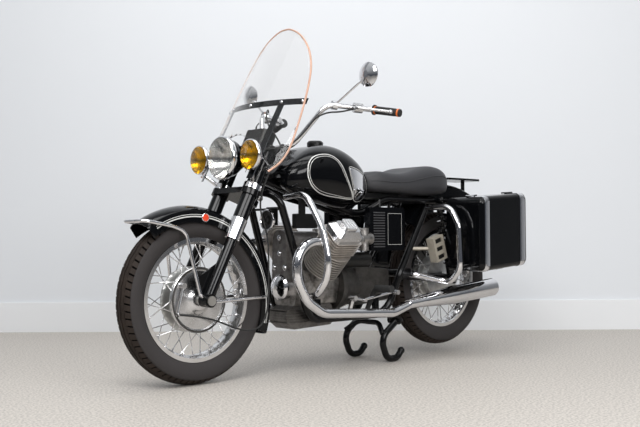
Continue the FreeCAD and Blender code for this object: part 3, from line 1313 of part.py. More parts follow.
def ring_section(x, half_w, low, high, round_r):
    """Closed rounded section across the motorcycle at x."""
    corners = [V(x, half_w, low), V(x, half_w, high), V(x, -half_w, high), V(x, -half_w, low)]
    return Part.Wire(bend_edges(corners, round_r, closed=True))


def blend(stations, x0, x1, half_w, low, high):
    """Loft along X through share stations: (x, width, low, high, roundness)."""
    wires = []
    for x, w, lo, hi, rnd in stations:
        z0 = low + (high - low) * lo
        z1 = low + (high - low) * hi
        wires.append(ring_section(x0 + (x1 - x0) * x, half_w * w, z0, z1, min(half_w * w, (z1 - z0) / 2) * rnd))
    return Part.makeLoft(wires, True, False)


TANK_SHARES = ((0.0, 0.60, 0.20, 0.56, 0.7), (0.12, 0.80, 0.05, 0.78, 0.75), (0.30, 0.95, 0.0, 0.95, 0.8),
               (0.50, 1.0, 0.05, 1.0, 0.85), (0.68, 1.0, 0.12, 0.93, 0.85), (0.84, 0.93, 0.20, 0.78, 0.85),
               (0.95, 0.76, 0.28, 0.62, 0.85), (1.0, 0.45, 0.36, 0.52, 0.85))
SEAT_SHARES = ((0.0, 0.55, 0.15, 0.58, 0.8), (0.06, 0.74, 0.08, 0.70, 0.8), (0.25, 0.90, 0.05, 0.70, 0.75),
               (0.45, 0.97, 0.03, 0.76, 0.75), (0.64, 1.0, 0.0, 0.97, 0.75), (0.80, 0.98, 0.0, 1.0, 0.75),
               (0.91, 0.88, 0.03, 0.93, 0.8), (1.0, 0.66, 0.10, 0.68, 0.8))


def fuel_tank():
    """Fuel tank with the hollow under it for the frame's top tubes."""
    body = blend(TANK_SHARES, TANK_REAR_X, TANK_FRONT_X, TANK_HALF_W, TANK_LOW_Z, TANK_TOP_Z)
    tunnel_w = HEAD_TUBE_R + FRAME_TUBE_R * 2.2
    tunnel = block(TANK_REAR_X - OVERRUN, TANK_FRONT_X + OVERRUN, -tunnel_w, tunnel_w, TANK_LOW_Z - OVERRUN,
                   TANK_LOW_Z + (TANK_TOP_Z - TANK_LOW_Z) * 0.42)
    top = V(TANK_CAP_X, 0, TANK_TOP_Z)
    neck = rod(top - Z * TANK_CAP_H, top + Z * TANK_CAP_H, TANK_CAP_R * 0.8)
    seat_ring = rod(top, top + Z * TANK_CAP_H * 2, TANK_CAP_R + RUN_GAP)
    return body.cut([tunnel, neck, seat_ring, frame()])


def tank_cap():
    """Filler cap."""
    base = TANK_TOP_Z - TANK_CAP_H
    r = TANK_CAP_R
    top = TANK_TOP_Z + TANK_CAP_H
    skirt = TANK_TOP_Z + RUN_GAP
    return turned([(0, 0), (0, r * 0.8), (skirt - base, r * 0.8), (skirt - base, r), (top - base - r * 0.2, r),
                   (top - base, r * 0.8), (top - base, 0)], V(TANK_CAP_X, 0, base), Z)


def seat():
    """Long saddle, raised behind, arched over the rear mudguard."""
    body = blend(SEAT_SHARES, SEAT_FRONT_X, SEAT_REAR_X, SEAT_HALF_W, SEAT_LOW_Z, SEAT_TOP_Z)
    room = REAR_FENDER_HALF_W + RUN_GAP * 4
    centre = V(REAR_FENDER_X, -room, REAR_FENDER_Z)
    arch = Part.makeCylinder(REAR_FENDER_R + RUN_GAP, 2 * room, centre, Y)
    return body.cut(arch)


def side_boxes():
    """Boxes behind the engine, with a louvred panel in front and a plain one behind."""
    def one(side):
        y0, y1 = side * BOX_IN_Y, side * BOX_OUT_Y
        split = BOX_FRONT_X - (BOX_FRONT_X - BOX_REAR_X) * 0.4
        corners = [V(BOX_FRONT_X, y0, BOX_LOW_Z), V(BOX_FRONT_X, y0, BOX_TOP_Z), V(BOX_REAR_X, y0, BOX_TOP_Z),
                   V(BOX_REAR_X, y0, BOX_LOW_Z)]
        parts = [slab(corners, FRAME_TUBE_R, V(0, y1 - y0, 0))]
        height = BOX_TOP_Z - BOX_LOW_Z
        pitch = height * 0.84 / LOUVRES
        for i in range(LOUVRES):
            z = BOX_LOW_Z + height * 0.08 + pitch * i
            parts.append(block(split, BOX_FRONT_X - FRAME_TUBE_R, y1, y1 + side * FIN_T, z, z + pitch * 0.5))
        return fuse(parts)
    return both(one)


def regulator():
    """Ribbed electrical box on the left, on its bracket from the seat loop."""
    centre = V(*REG_AT)
    half_l, half_h, half_t = REG_L / 2, REG_H / 2, REG_T / 2
    box = block(-half_l, half_l, -half_t, half_t, -half_h, half_h)
    pitch = 2 * half_h / REG_SLOTS
    for i in range(REG_SLOTS):
        z = -half_h + pitch * (i + 0.5)
        box = box.cut(block(-half_l * 0.62, half_l * 0.62, half_t - FIN_T * 2, half_t + OVERRUN, z - pitch * 0.28,
                            z + pitch * 0.28))
    box.rotate(V(0, 0, 0), Y, REG_TILT_DEG)
    box.translate(centre)
    loop_low = V(SWING_PIVOT_X + PIVOT_SETBACK, PIVOT_LUG_Y, SWING_PIVOT_Z)
    loop_top = V(SHOCK_TOP[0] + FRAME_TUBE_R * 2, RAIL_Y, SHOCK_TOP[1] - FRAME_TUBE_R * 2)
    at = loop_low + (loop_top - loop_low) * ((centre.z - loop_low.z) / (loop_top.z - loop_low.z))
    bracket = rod(at, centre, SHOCK_ROD_R)
    return fuse([box, bracket]).cut(frame())


def horns():
    """Round horn below the steering head, with its bright ring, on a plate from the frame's down tubes."""
    r, t = HORN_R, HORN_T
    centre = V(HORN_X, HORN_Y, HORN_Z)
    disc = turned([(-t * 0.1, 0), (-t * 0.05, r * 0.25), (-t * 0.25, r * 0.45), (-t * 0.15, r * 0.82), (0, r * 0.86),
                   (0, r * 0.96), (-t * 0.1, r), (-t * 0.35, r), (-t * 0.5, r * 0.75), (-t, r * 0.6), (-t, 0)], centre, X)
    plate = block(HORN_X - t - FIN_T, HORN_X - t, 0, 2 * HORN_Y, HORN_Z - r * 0.5, HORN_Z + r * 1.2)
    high, low = down_tube(1)[1:3]
    z = HORN_Z + r
    tube_x = low.x + (high.x - low.x) * (z - low.z) / (high.z - low.z)
    arms = [rod(V(tube_x, s * DOWN_TUBE_Y, z), V(HORN_X - t - FIN_T / 2, HORN_Y, z), FIN_T * 1.5) for s in (1, -1)]
    return fuse([disc, plate] + arms).cut(frame())


def coil_box():
    """Flat ignition box hung from the frame's top tubes, ahead of the left cylinder."""
    (x0, x1), (y0, y1), (z0, z1) = COIL_BOX_X, COIL_BOX_Y, COIL_BOX_Z
    box = slab([V(x0, y0, z0), V(x1, y0, z0), V(x1, y0, z1), V(x0, y0, z1)], FIN_T * 2, Y * (y1 - y0))
    mid = (x0 + x1) / 2
    strap = block(mid - EAR_T, mid + EAR_T, y0 - FRAME_TUBE_R, y0 + FIN_T, z1 - FIN_T * 2, z1 + FRAME_TUBE_R * 5)
    return fuse([box, strap]).cut(frame())


# Guard bars

def guard_bars():
    """Crash bars round the cylinders and the guard loops ahead of the panniers."""
    y, top, low = CRASH_OUT_Y, CRASH_TOP_Z, CRASH_LOW_Z
    hoop = [V(CRASH_X + FRAME_TUBE_R, DOWN_TUBE_Y * 0.75, top - CRASH_R)]
    hoop += [V(CRASH_X, y * a, low + (top - low) * b) for a, b in CRASH_SHARES]
    hoop += [V(CRASH_X - CRASH_R * 4, PIPE_Y, low + CRASH_R * 2.6), V(DOWN_TUBE_X - PIPE_R * 2.6, DOWN_TUBE_Y, low + CRASH_R)]
    front = tube(hoop, CRASH_R, CRASH_BEND).cut(frame())
    seat_y = PIVOT_LUG_Y + PIVOT_LUG_T + RUN_GAP
    foot = V(SWING_PIVOT_X - PIVOT_R * 0.4, seat_y, SWING_PIVOT_Z - PIVOT_R * 0.5)
    y, top, low = GUARD_OUT_Y, GUARD_TOP_Z, GUARD_LOW_Z
    loop = [V(GUARD_X, RAIL_Y + FRAME_TUBE_R + RUN_GAP, top), V(GUARD_X, y * 0.82, top), V(GUARD_X, y * 0.97, top * 0.88),
            V(GUARD_X, y, low + CRASH_R * 4), V(GUARD_X, y * 0.8, low - CRASH_R * 0.4), V(GUARD_X + CRASH_R, PIPE_Y, low),
            foot + Y * (CRASH_R * 3), foot]
    rear = tube(loop, CRASH_R, GUARD_BEND).cut(frame())
    return Part.makeCompound([front, rear, mirror(front), mirror(rear)])


# Rear mudguard, lamp and rack

def rear_fender():
    """Deep rear mudguard."""
    centre = V(REAR_FENDER_X, 0, REAR_FENDER_Z)
    return fender_shell(centre, REAR_FENDER_R, REAR_FENDER_HALF_W, REAR_FENDER_SKIRT, FENDER_CROWN_DROP, FENDER_T,
                        REAR_FENDER_FRONT_DEG, REAR_FENDER_REAR_DEG)


def tail_lamp():
    """Round tail lamp on its housing."""
    z = LAMP_Z
    fender_x = REAR_FENDER_X - math.sqrt(REAR_FENDER_R ** 2 - (z - REAR_FENDER_Z) ** 2)
    reach = fender_x - TAIL_X
    lamp = turned([(0, 0), (0, LAMP_R), (-LAMP_L * 0.8, LAMP_R), (-LAMP_L, LAMP_R * 0.8), (-LAMP_L, 0)],
                  V(TAIL_X + LAMP_L, 0, z), X)
    stalk = block(TAIL_X + LAMP_L * 0.5, fender_x + reach, -LAMP_R * 0.8, LAMP_R * 0.8, z - LAMP_R * 0.9, z + LAMP_R * 0.6)
    cutter = Part.makeCylinder(REAR_FENDER_R + RUN_GAP, 2 * LAMP_R * 2, V(REAR_FENDER_X, -LAMP_R * 2, REAR_FENDER_Z), Y)
    return fuse([lamp, stalk]).cut(cutter)


def luggage_rack():
    """Flat rack on a post, with the cross tubes that carry the panniers."""
    x0, x1, w = RACK_FRONT_X, RACK_REAR_X, RACK_HALF_W
    corners = [V(x0, w, RACK_Z - RACK_T), V(x0, -w, RACK_Z - RACK_T), V(x1, -w, RACK_Z - RACK_T),
               V(x1, w, RACK_Z - RACK_T)]
    deck = slab(corners, w * 0.3, Z * RACK_T)
    mid_x = (x0 + x1) / 2
    holes = [rod(V(mid_x + a * RACK_HOLE_X / 2, b * RACK_HOLE_Y / 2, RACK_Z - RACK_T * 2),
                 V(mid_x + a * RACK_HOLE_X / 2, b * RACK_HOLE_Y / 2, RACK_Z + RACK_T), RACK_HOLE_R)
             for a in (1, -1) for b in (1, -1)]
    deck = deck.cut(holes)
    post = rod(V(RACK_POST_X, 0, REAR_FENDER_Z + REAR_FENDER_R * 0.8), V(RACK_POST_X, 0, RACK_Z - RACK_T), RACK_T)
    cutter = Part.makeCylinder(REAR_FENDER_R + RUN_GAP, 2 * CASE_Y0, V(REAR_FENDER_X, -CASE_Y0, REAR_FENDER_Z), Y)
    body = fuse([deck, post])
    return body.cut(cutter)


def pannier_rails():
    """Arms from the frame's rails to the pannier shells."""
    def one(side):
        parts = []
        plate = V(0, side * (CASE_Y0 - RUN_GAP - RACK_T * 0.6), RAIL_Z)
        for x in (RAIL_END_X + FRAME_TUBE_R, CASE_X1 - FRAME_TUBE_R * 2.5):
            parts.append(rod(V(x, side * RAIL_Y, RAIL_Z), V(x, plate.y, RAIL_Z), RACK_T * 0.8))
        parts.append(block(CASE_X0 + CASE_ROUND, CASE_X1 - CASE_ROUND, plate.y, side * (CASE_Y0 - RUN_GAP),
                           RAIL_Z - RACK_T * 1.6, RAIL_Z + RACK_T))
        return fuse(parts)
    return both(one).cut([frame(), rear_shocks()])


# Panniers

def case_low(x):
    """Height of a pannier's sloped underside at x."""
    return CASE_Z0 + CASE_RISE * (CASE_X1 - x) / (CASE_X1 - CASE_X0)


def case_outline(y, inset):
    """Side outline of a pannier at y: upright ends, with the top and bottom rising to the rear."""
    tall = CASE_Z1 - CASE_Z0
    x0, x1 = CASE_X0 + inset, CASE_X1 - inset
    return [V(x0, y, case_low(x0) + inset), V(x1, y, case_low(x1) + inset), V(x1, y, case_low(x1) + tall - inset),
            V(x0, y, case_low(x0) + tall - inset)]


def lid_block(y0, y1, inset):
    """Solid with a pannier's outline whose outer edges are rounded."""
    body = slab(case_outline(y0, inset), CASE_ROUND - inset, Y * (y1 - y0))
    rim = [e for e in body.Edges if min(v.Point.y for v in e.Vertexes) > y1 - RUN_GAP]
    return body.makeFillet(CASE_EDGE_R - inset, rim)


def across_case(share, width):
    """Slice of the pannier's length about a share of it from the front, for cutting."""
    x = CASE_X1 + (CASE_X0 - CASE_X1) * share
    return block(x - width / 2, x + width / 2, 0, CASE_Y2 + OVERRUN, 0, CASE_Z1 + CASE_RISE + OVERRUN)


def hinge_span(share, start, end):
    """Two points of the lid's hinge line, as distances along it from a share of the case's length."""
    way = V(CASE_X1 - CASE_X0, 0, -CASE_RISE).normalize()
    x = CASE_X1 + (CASE_X0 - CASE_X1) * share
    at = V(x, CASE_Y1, case_low(x)) + V(way.z, 0, -way.x) * (HINGE_R + RUN_GAP)
    return at + way * start, at + way * end


def hinge_leaf(share, start, end, side):
    """One knuckle of a lid hinge with its leaf, inboard or outboard of the seam."""
    a, b = hinge_span(share, start, end)
    way = b - a
    up = V(-way.z, 0, way.x).normalize() * (HINGE_R + RUN_GAP)
    corners = [a, b, b + up, a + up]
    leaf = Part.Face(Part.makePolygon(corners + corners[:1])).extrude(Y * (side * HINGE_R))
    leaf.translate(Y * (side * LID_GAP * (side < 0)))
    return rod(a, b, HINGE_R), leaf


def pannier_shell():
    """Left inner shell, with the fixed knuckles and the pins of the lid's hinges."""
    outer = slab(case_outline(CASE_Y0, 0), CASE_ROUND, Y * (CASE_Y1 - LID_GAP - CASE_Y0))
    inner = slab(case_outline(CASE_Y0 + CASE_WALL, CASE_WALL), CASE_ROUND - CASE_WALL, Y * (CASE_Y1 - CASE_Y0))
    parts = [outer.cut(inner)]
    third = HINGE_L / 3
    for share in HINGE_SHARES:
        for start in (-1.5, 0.5):
            parts += hinge_leaf(share, third * start, third * (start + 1), -1)
        parts.append(rod(*hinge_span(share, -HINGE_L / 2, HINGE_L / 2), HINGE_PIN_R))
    return fuse(parts)


def pannier_lid():
    """Left outer lid, with its bright straps, latches and bored hinge knuckles."""
    shell = lid_block(CASE_Y1, CASE_Y2, 0)
    walls = shell.cut(lid_block(CASE_Y1 - OVERRUN, CASE_Y2 - CASE_WALL, CASE_WALL))
    parts = [walls]
    strap_skin = lid_block(CASE_Y1, CASE_Y2 + STRAP_T, -STRAP_T).cut(shell)
    latch_skin = slab(case_outline(CASE_Y1 - LATCH_REACH, -LATCH_T), CASE_ROUND + LATCH_T, Y * (LATCH_REACH * 2))
    latch_room = slab(case_outline(CASE_Y1 - LATCH_REACH, -STRAP_T), CASE_ROUND + STRAP_T, Y * (LATCH_REACH * 2))
    top_half = block(CASE_X0, CASE_X1, 0, CASE_Y2, (CASE_Z0 + CASE_Z1) / 2, CASE_Z1 + CASE_RISE + LATCH_T * 2)
    for share in STRAP_SHARES:
        parts.append(strap_skin.common(across_case(share, STRAP_W)))
        parts.append(latch_skin.cut(latch_room).common(across_case(share, LATCH_W)).common(top_half))
    third = HINGE_L / 3
    for share in HINGE_SHARES:
        parts += hinge_leaf(share, -third / 2 + RUN_GAP, third / 2 - RUN_GAP, 1)
    bores = [rod(*hinge_span(share, -HINGE_L / 2, HINGE_L / 2), HINGE_PIN_R + SHAFT_GAP) for share in HINGE_SHARES]
    return fuse(parts).cut(bores)


# Foot controls

def foot_controls():
    """Rider's footpegs with the rocker pedal on the left and the brake pedal on the right."""
    def one(side):
        root = V(PEG_X, side * CRADLE_Y, CRADLE_Z)
        knee = V(PEG_X, side * (PEG_Y - PEG_L * 1.05), PEG_Z)
        tip = V(PEG_X, side * PEG_Y, PEG_Z)
        hanger = tube([root, knee, tip], PIVOT_R * 0.9, PIVOT_R * 3)
        sleeve = rod(tip - Y * (side * PEG_L), tip, PEG_R * 1.2)
        return fuse([hanger, sleeve]).cut(frame())
    return both(one)


def pedals():
    """Rocker shift pedal on the left and brake pedal on the right."""
    def one(side):
        pivot = V(PEG_X + PEG_L * 1.1, side * (CRADLE_Y + FRAME_TUBE_R * 2), CRADLE_Z + FRAME_TUBE_R * 5)
        out = Y * (side * PEG_L * 0.7)
        toe = pivot + out + V(PEG_L * 0.9, 0, PEG_R)
        heel = pivot + out - V(PEG_L * 1.9, 0, -PEG_R * 2)
        root = V(pivot.x, side * CRADLE_Y, CRADLE_Z)
        lever = [heel, pivot + out, toe] if side > 0 else [pivot + out, pivot + out + X * PEG_R, toe]
        parts = [rod(pivot, pivot + out + Y * (side * PEG_R), PEG_R * 0.7), rod(root, pivot + Z * PEG_R * 0.5, PEG_R * 0.8),
                 tube(lever, PEG_R * 0.5, PEG_L), rod(toe, toe + Y * (side * PEG_L * 0.4), PEG_R * 0.8)]
        if side > 0:
            parts.append(rod(heel, heel + Y * (side * PEG_L * 0.4), PEG_R * 0.8))
        return fuse(parts).cut([frame(), foot_controls()])
    return both(one)


# Centre stand

def centre_stand():
    """C-shaped stand legs joined by an arched cross tube."""
    parts = []
    for s in (1, -1):
        y = s * STAND_Y
        top = V(STAND_X, y, STAND_Z)
        knee = top + V(STAND_KNEE[0], 0, STAND_KNEE[1])
        foot = top + V(STAND_FOOT[0], 0, STAND_FOOT[1])
        tang = top + V(STAND_TANG[0], 0, STAND_TANG[1])
        leg = tube([top, knee, foot + X * (STAND_R * 3.2), foot - X * STAND_R * 1.2, tang], STAND_R, STAND_R * 4)
        eye = Part.makeCylinder(STAND_R * 1.25, STAND_R * 2, top - Y * STAND_R, Y)
        bore = Part.makeCylinder(STAND_PIN_R + SHAFT_GAP, STAND_R * 4, top - Y * (STAND_R * 2), Y)
        parts.append(fuse([leg, eye, Part.makeSphere(STAND_R * 1.12, tang)]).cut(bore))
    knee_x = STAND_X + STAND_KNEE[0] * 0.9
    knee_z = STAND_Z + STAND_KNEE[1] * 0.72
    arch = tube([V(knee_x, STAND_Y, knee_z), V(STAND_X + STAND_KNEE[0] * 0.6, STAND_Y * 0.55, STAND_ARCH_Z),
                 V(STAND_X + STAND_KNEE[0] * 0.6, -STAND_Y * 0.55, STAND_ARCH_Z), V(knee_x, -STAND_Y, knee_z)],
                STAND_R * 0.8, STAND_Y * 0.5)
    return fuse(parts + [arch])


def main():
    """Write every sub-part."""
    os.makedirs("parts", exist_ok=True)
    save("front_wheel", wheel(FRONT_AXLE, FRONT_DRUM_R))
    save("front_tyre", tyre(FRONT_AXLE))
    save("rear_wheel", wheel(REAR_AXLE, REAR_DRUM_R))
    save("rear_tyre", tyre(REAR_AXLE))
    save("fork_yokes", fork_yokes())
    save("fork_legs", fork_legs())
    save("fork_covers", fork_covers())
    save("fork_collars", fork_collars())
    save("front_axle", front_axle())
    save("front_brake", front_brake())
    save("front_fender", front_fender())
    save("fender_stays", fender_stays())
    save("front_lamps", front_lamps())
    save("handlebar", handlebar_path_tube(BAR_R))
    save("grips", grips())
    save("hand_controls", hand_controls())
    save("mirrors", mirrors())
    save("windscreen", windscreen())
    save("screen_struts", screen_struts())
    save("instruments", instruments())
    save("control_cables", control_cables())
    save("frame", frame())
    save("swingarm", swingarm())
    save("rear_axle", rear_axle())
    save("final_drive", final_drive())
    save("rear_shocks", rear_shocks())
    save("crankcase", crankcase())
    save("timing_cover", timing_cover())
    save("sump", sump())
    save("barrels", barrels())
    save("cylinder_heads", cylinder_heads())
    save("rocker_covers", rocker_covers())
    save("gearbox", gearbox())
    save("starter", starter())
    save("carburettors", carburettors())
    save("exhaust_headers", both(header_pipe))
    save("mufflers", mufflers())
    save("fuel_tank", fuel_tank())
    save("tank_cap", tank_cap())
    save("seat", seat())
    save("side_boxes", side_boxes())
    save("coil_box", coil_box())
    save("regulator", regulator())
    save("horns", horns())
    save("guard_bars", guard_bars())
    save("rear_fender", rear_fender())
    save("tail_lamp", tail_lamp())
    save("luggage_rack", luggage_rack())
    save("pannier_rails", pannier_rails())
    save("pannier_left", pannier_shell())
    save("pannier_right", mirror(pannier_shell()))
    save("pannier_lid_left", pannier_lid())
    save("pannier_lid_right", mirror(pannier_lid()))
    save("footpegs", foot_controls())
    save("pedals", pedals())
    save("centre_stand", centre_stand())


main()
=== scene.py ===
"""Visual model of a solo touring motorcycle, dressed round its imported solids.

Sizes are in millimetres in the building frame of the solids: x forward from the rear axle, y to the
rider's left, z up from the floor. The function at() turns such a point into the scene's metres.
"""
from __future__ import annotations

import json
import logging
import math
from dataclasses import dataclass, field
from enum import Enum
from typing import Callable, Iterable, Sequence

import bmesh
import bpy
from mathutils import Matrix, Vector
from mathutils.bvhtree import BVHTree

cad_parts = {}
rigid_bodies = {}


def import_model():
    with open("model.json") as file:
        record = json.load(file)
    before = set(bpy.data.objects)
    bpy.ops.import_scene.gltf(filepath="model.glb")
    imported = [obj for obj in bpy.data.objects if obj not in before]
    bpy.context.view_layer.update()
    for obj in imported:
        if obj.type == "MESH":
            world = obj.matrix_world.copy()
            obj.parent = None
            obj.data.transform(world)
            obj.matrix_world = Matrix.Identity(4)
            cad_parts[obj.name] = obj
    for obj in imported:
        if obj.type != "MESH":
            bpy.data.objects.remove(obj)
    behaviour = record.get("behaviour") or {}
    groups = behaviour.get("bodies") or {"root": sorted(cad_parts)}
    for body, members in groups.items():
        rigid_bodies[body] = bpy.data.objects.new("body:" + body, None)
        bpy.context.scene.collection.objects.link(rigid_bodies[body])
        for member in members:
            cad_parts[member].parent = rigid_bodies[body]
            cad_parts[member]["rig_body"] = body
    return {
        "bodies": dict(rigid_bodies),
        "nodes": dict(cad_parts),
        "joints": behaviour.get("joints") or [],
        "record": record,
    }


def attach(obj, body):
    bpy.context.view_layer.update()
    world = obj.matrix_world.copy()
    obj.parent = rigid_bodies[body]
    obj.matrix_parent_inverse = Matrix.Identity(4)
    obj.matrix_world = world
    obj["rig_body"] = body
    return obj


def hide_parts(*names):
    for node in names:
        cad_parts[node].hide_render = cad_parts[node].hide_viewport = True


LOG = logging.getLogger("motorcycle")
MM = 0.001
SHIFT_X = -676.0
X, Y, Z = Vector((1, 0, 0)), Vector((0, 1, 0)), Vector((0, 0, 1))
Colour = tuple[float, float, float]
Test = Callable[[Vector, Vector], bool]


def at(x: float, y: float, z: float) -> Vector:
    """Scene point, in metres, of a point of the building frame in millimetres."""
    return Vector(((x + SHIFT_X) * MM, y * MM, z * MM))


def back(point: Vector) -> Vector:
    """Point of the building frame, in millimetres, of a scene point in metres."""
    return Vector((point.x / MM - SHIFT_X, point.y / MM, point.z / MM))


# Shared surface effects

def maths(tree: bpy.types.NodeTree, operation: str) -> bpy.types.Node:
    """New Math node with its operation."""
    made = tree.nodes.new("ShaderNodeMath")
    made.operation = operation
    return made


class Effects:
    """Shader node groups that the finishes share, each built once."""

    made: dict[str, bpy.types.NodeTree] = {}

    @classmethod
    def group(cls, name: str, inputs: dict[str, object], outputs: Iterable[str]
              ) -> tuple[bpy.types.NodeTree, bool]:
        """Fetch or start a node group.

        Args:
            name: The group's name.
            inputs: Each input's name and start value, a number or a colour.
            outputs: The outputs' names. One that ends in Colour is a colour.

        Returns:
            The group, and whether it still has to be filled.
        """
        if name in cls.made:
            return cls.made[name], False
        tree = bpy.data.node_groups.new(name, "ShaderNodeTree")
        for title, value in inputs.items():
            kind = "NodeSocketFloat" if isinstance(value, float) else "NodeSocketColor"
            socket = tree.interface.new_socket(name=title, in_out="INPUT", socket_type=kind)
            socket.default_value = value if isinstance(value, float) else (*value, 1.0)
        for title in outputs:
            kind = "NodeSocketColor" if title.endswith("Colour") else "NodeSocketFloat"
            tree.interface.new_socket(name=title, in_out="OUTPUT", socket_type=kind)
        tree.nodes.new("NodeGroupInput")
        tree.nodes.new("NodeGroupOutput")
        cls.made[name] = tree
        return tree, True

    @staticmethod
    def ends(tree: bpy.types.NodeTree) -> tuple[bpy.types.Node, bpy.types.Node]:
        """The group's input and output nodes.

        Args:
            tree: The group.

        Returns:
            Its input node and its output node.
        """
        kinds = {node.bl_idname: node for node in tree.nodes}
        return kinds["NodeGroupInput"], kinds["NodeGroupOutput"]

    @classmethod
    def wear(cls) -> bpy.types.NodeTree:
        """Uneven handling: a colour that drifts to grime, and a roughness that drifts with it.

        Returns:
            The filled group.
        """
        inputs = {"Base Colour": (0.5, 0.5, 0.5), "Grime Colour": (0.1, 0.08, 0.06), "Grime": 0.3,
                  "Scale": 20.0, "Roughness": 0.4, "Spread": 0.1}
        tree, fresh = cls.group("surface_wear", inputs, ("Colour", "Roughness"))
        if fresh:
            start, end = cls.ends(tree)
            place = tree.nodes.new("ShaderNodeTexCoord")
            noise = tree.nodes.new("ShaderNodeTexNoise")
            noise.inputs["Detail"].default_value = 6.0
            noise.inputs["Roughness"].default_value = 0.62
            ramp = tree.nodes.new("ShaderNodeMapRange")
            ramp.inputs["From Min"].default_value = 0.42
            ramp.inputs["From Max"].default_value = 0.72
            amount = maths(tree, "MULTIPLY")
            mix = tree.nodes.new("ShaderNodeMix")
            mix.data_type = "RGBA"
            rough = maths(tree, "MULTIPLY_ADD")
            link = tree.links.new
            link(place.outputs["Object"], noise.inputs["Vector"])
            link(start.outputs["Scale"], noise.inputs["Scale"])
            link(noise.outputs["Fac"], ramp.inputs["Value"])
            link(ramp.outputs["Result"], amount.inputs[0])
            link(start.outputs["Grime"], amount.inputs[1])
            link(amount.outputs[0], mix.inputs["Factor"])
            link(start.outputs["Base Colour"], mix.inputs["A"])
            link(start.outputs["Grime Colour"], mix.inputs["B"])
            link(noise.outputs["Fac"], rough.inputs[0])
            link(start.outputs["Spread"], rough.inputs[1])
            link(start.outputs["Roughness"], rough.inputs[2])
            link(mix.outputs["Result"], end.inputs["Colour"])
            link(rough.outputs[0], end.inputs["Roughness"])
        return tree

    @classmethod
    def dust(cls) -> bpy.types.NodeTree:
        """Fine dust on what faces up.

        Returns:
            The filled group.
        """
        inputs = {"Base Colour": (0.5, 0.5, 0.5), "Dust Colour": (0.42, 0.39, 0.35), "Amount": 0.1,
                  "Scale": 60.0}
        tree, fresh = cls.group("settled_dust", inputs, ("Colour",))
        if fresh:
            start, end = cls.ends(tree)
            shape = tree.nodes.new("ShaderNodeNewGeometry")
            split = tree.nodes.new("ShaderNodeSeparateXYZ")
            up = tree.nodes.new("ShaderNodeMapRange")
            up.inputs["From Min"].default_value = 0.2
            place = tree.nodes.new("ShaderNodeTexCoord")
            noise = tree.nodes.new("ShaderNodeTexNoise")
            noise.inputs["Detail"].default_value = 5.0
            first = maths(tree, "MULTIPLY")
            second = maths(tree, "MULTIPLY")
            mix = tree.nodes.new("ShaderNodeMix")
            mix.data_type = "RGBA"
            link = tree.links.new
            link(shape.outputs["Normal"], split.inputs[0])
            link(split.outputs["Z"], up.inputs["Value"])
            link(place.outputs["Object"], noise.inputs["Vector"])
            link(start.outputs["Scale"], noise.inputs["Scale"])
            link(up.outputs["Result"], first.inputs[0])
            link(noise.outputs["Fac"], first.inputs[1])
            link(first.outputs[0], second.inputs[0])
            link(start.outputs["Amount"], second.inputs[1])
            link(second.outputs[0], mix.inputs["Factor"])
            link(start.outputs["Base Colour"], mix.inputs["A"])
            link(start.outputs["Dust Colour"], mix.inputs["B"])
            link(mix.outputs["Result"], end.inputs["Colour"])
        return tree

    @classmethod
    def grain(cls) -> bpy.types.NodeTree:
        """Heights of cells and of fine noise, for leather, castings and rubber.

        Returns:
            The filled group.
        """
        tree, fresh = cls.group("fine_grain", {"Scale": 300.0, "Cells": 0.5, "Noise": 0.5}, ("Height",))
        if fresh:
            start, end = cls.ends(tree)
            place = tree.nodes.new("ShaderNodeTexCoord")
            cells = tree.nodes.new("ShaderNodeTexVoronoi")
            noise = tree.nodes.new("ShaderNodeTexNoise")
            noise.inputs["Detail"].default_value = 4.0
            first = maths(tree, "MULTIPLY")
            second = maths(tree, "MULTIPLY_ADD")
            link = tree.links.new
            for texture in (cells, noise):
                link(place.outputs["Object"], texture.inputs["Vector"])
                link(start.outputs["Scale"], texture.inputs["Scale"])
            link(cells.outputs["Distance"], first.inputs[0])
            link(start.outputs["Cells"], first.inputs[1])
            link(noise.outputs["Fac"], second.inputs[0])
            link(start.outputs["Noise"], second.inputs[1])
            link(first.outputs[0], second.inputs[2])
            link(second.outputs[0], end.inputs["Height"])
        return tree


class Relief(Enum):
    """Fine relief of a finish: cells per metre, share of cells, share of noise, depth in metres."""

    NONE = (1.0, 0.0, 0.0, 0.0)
    PEEL = (260.0, 0.0, 1.0, 0.00006)
    CAST = (900.0, 0.35, 0.65, 0.00035)
    FINE_CAST = (1500.0, 0.3, 0.7, 0.00015)
    LEATHER = (420.0, 1.0, 0.15, 0.0006)
    RUBBER = (700.0, 0.3, 0.7, 0.0003)
    PLATED = (90.0, 0.0, 1.0, 0.00003)


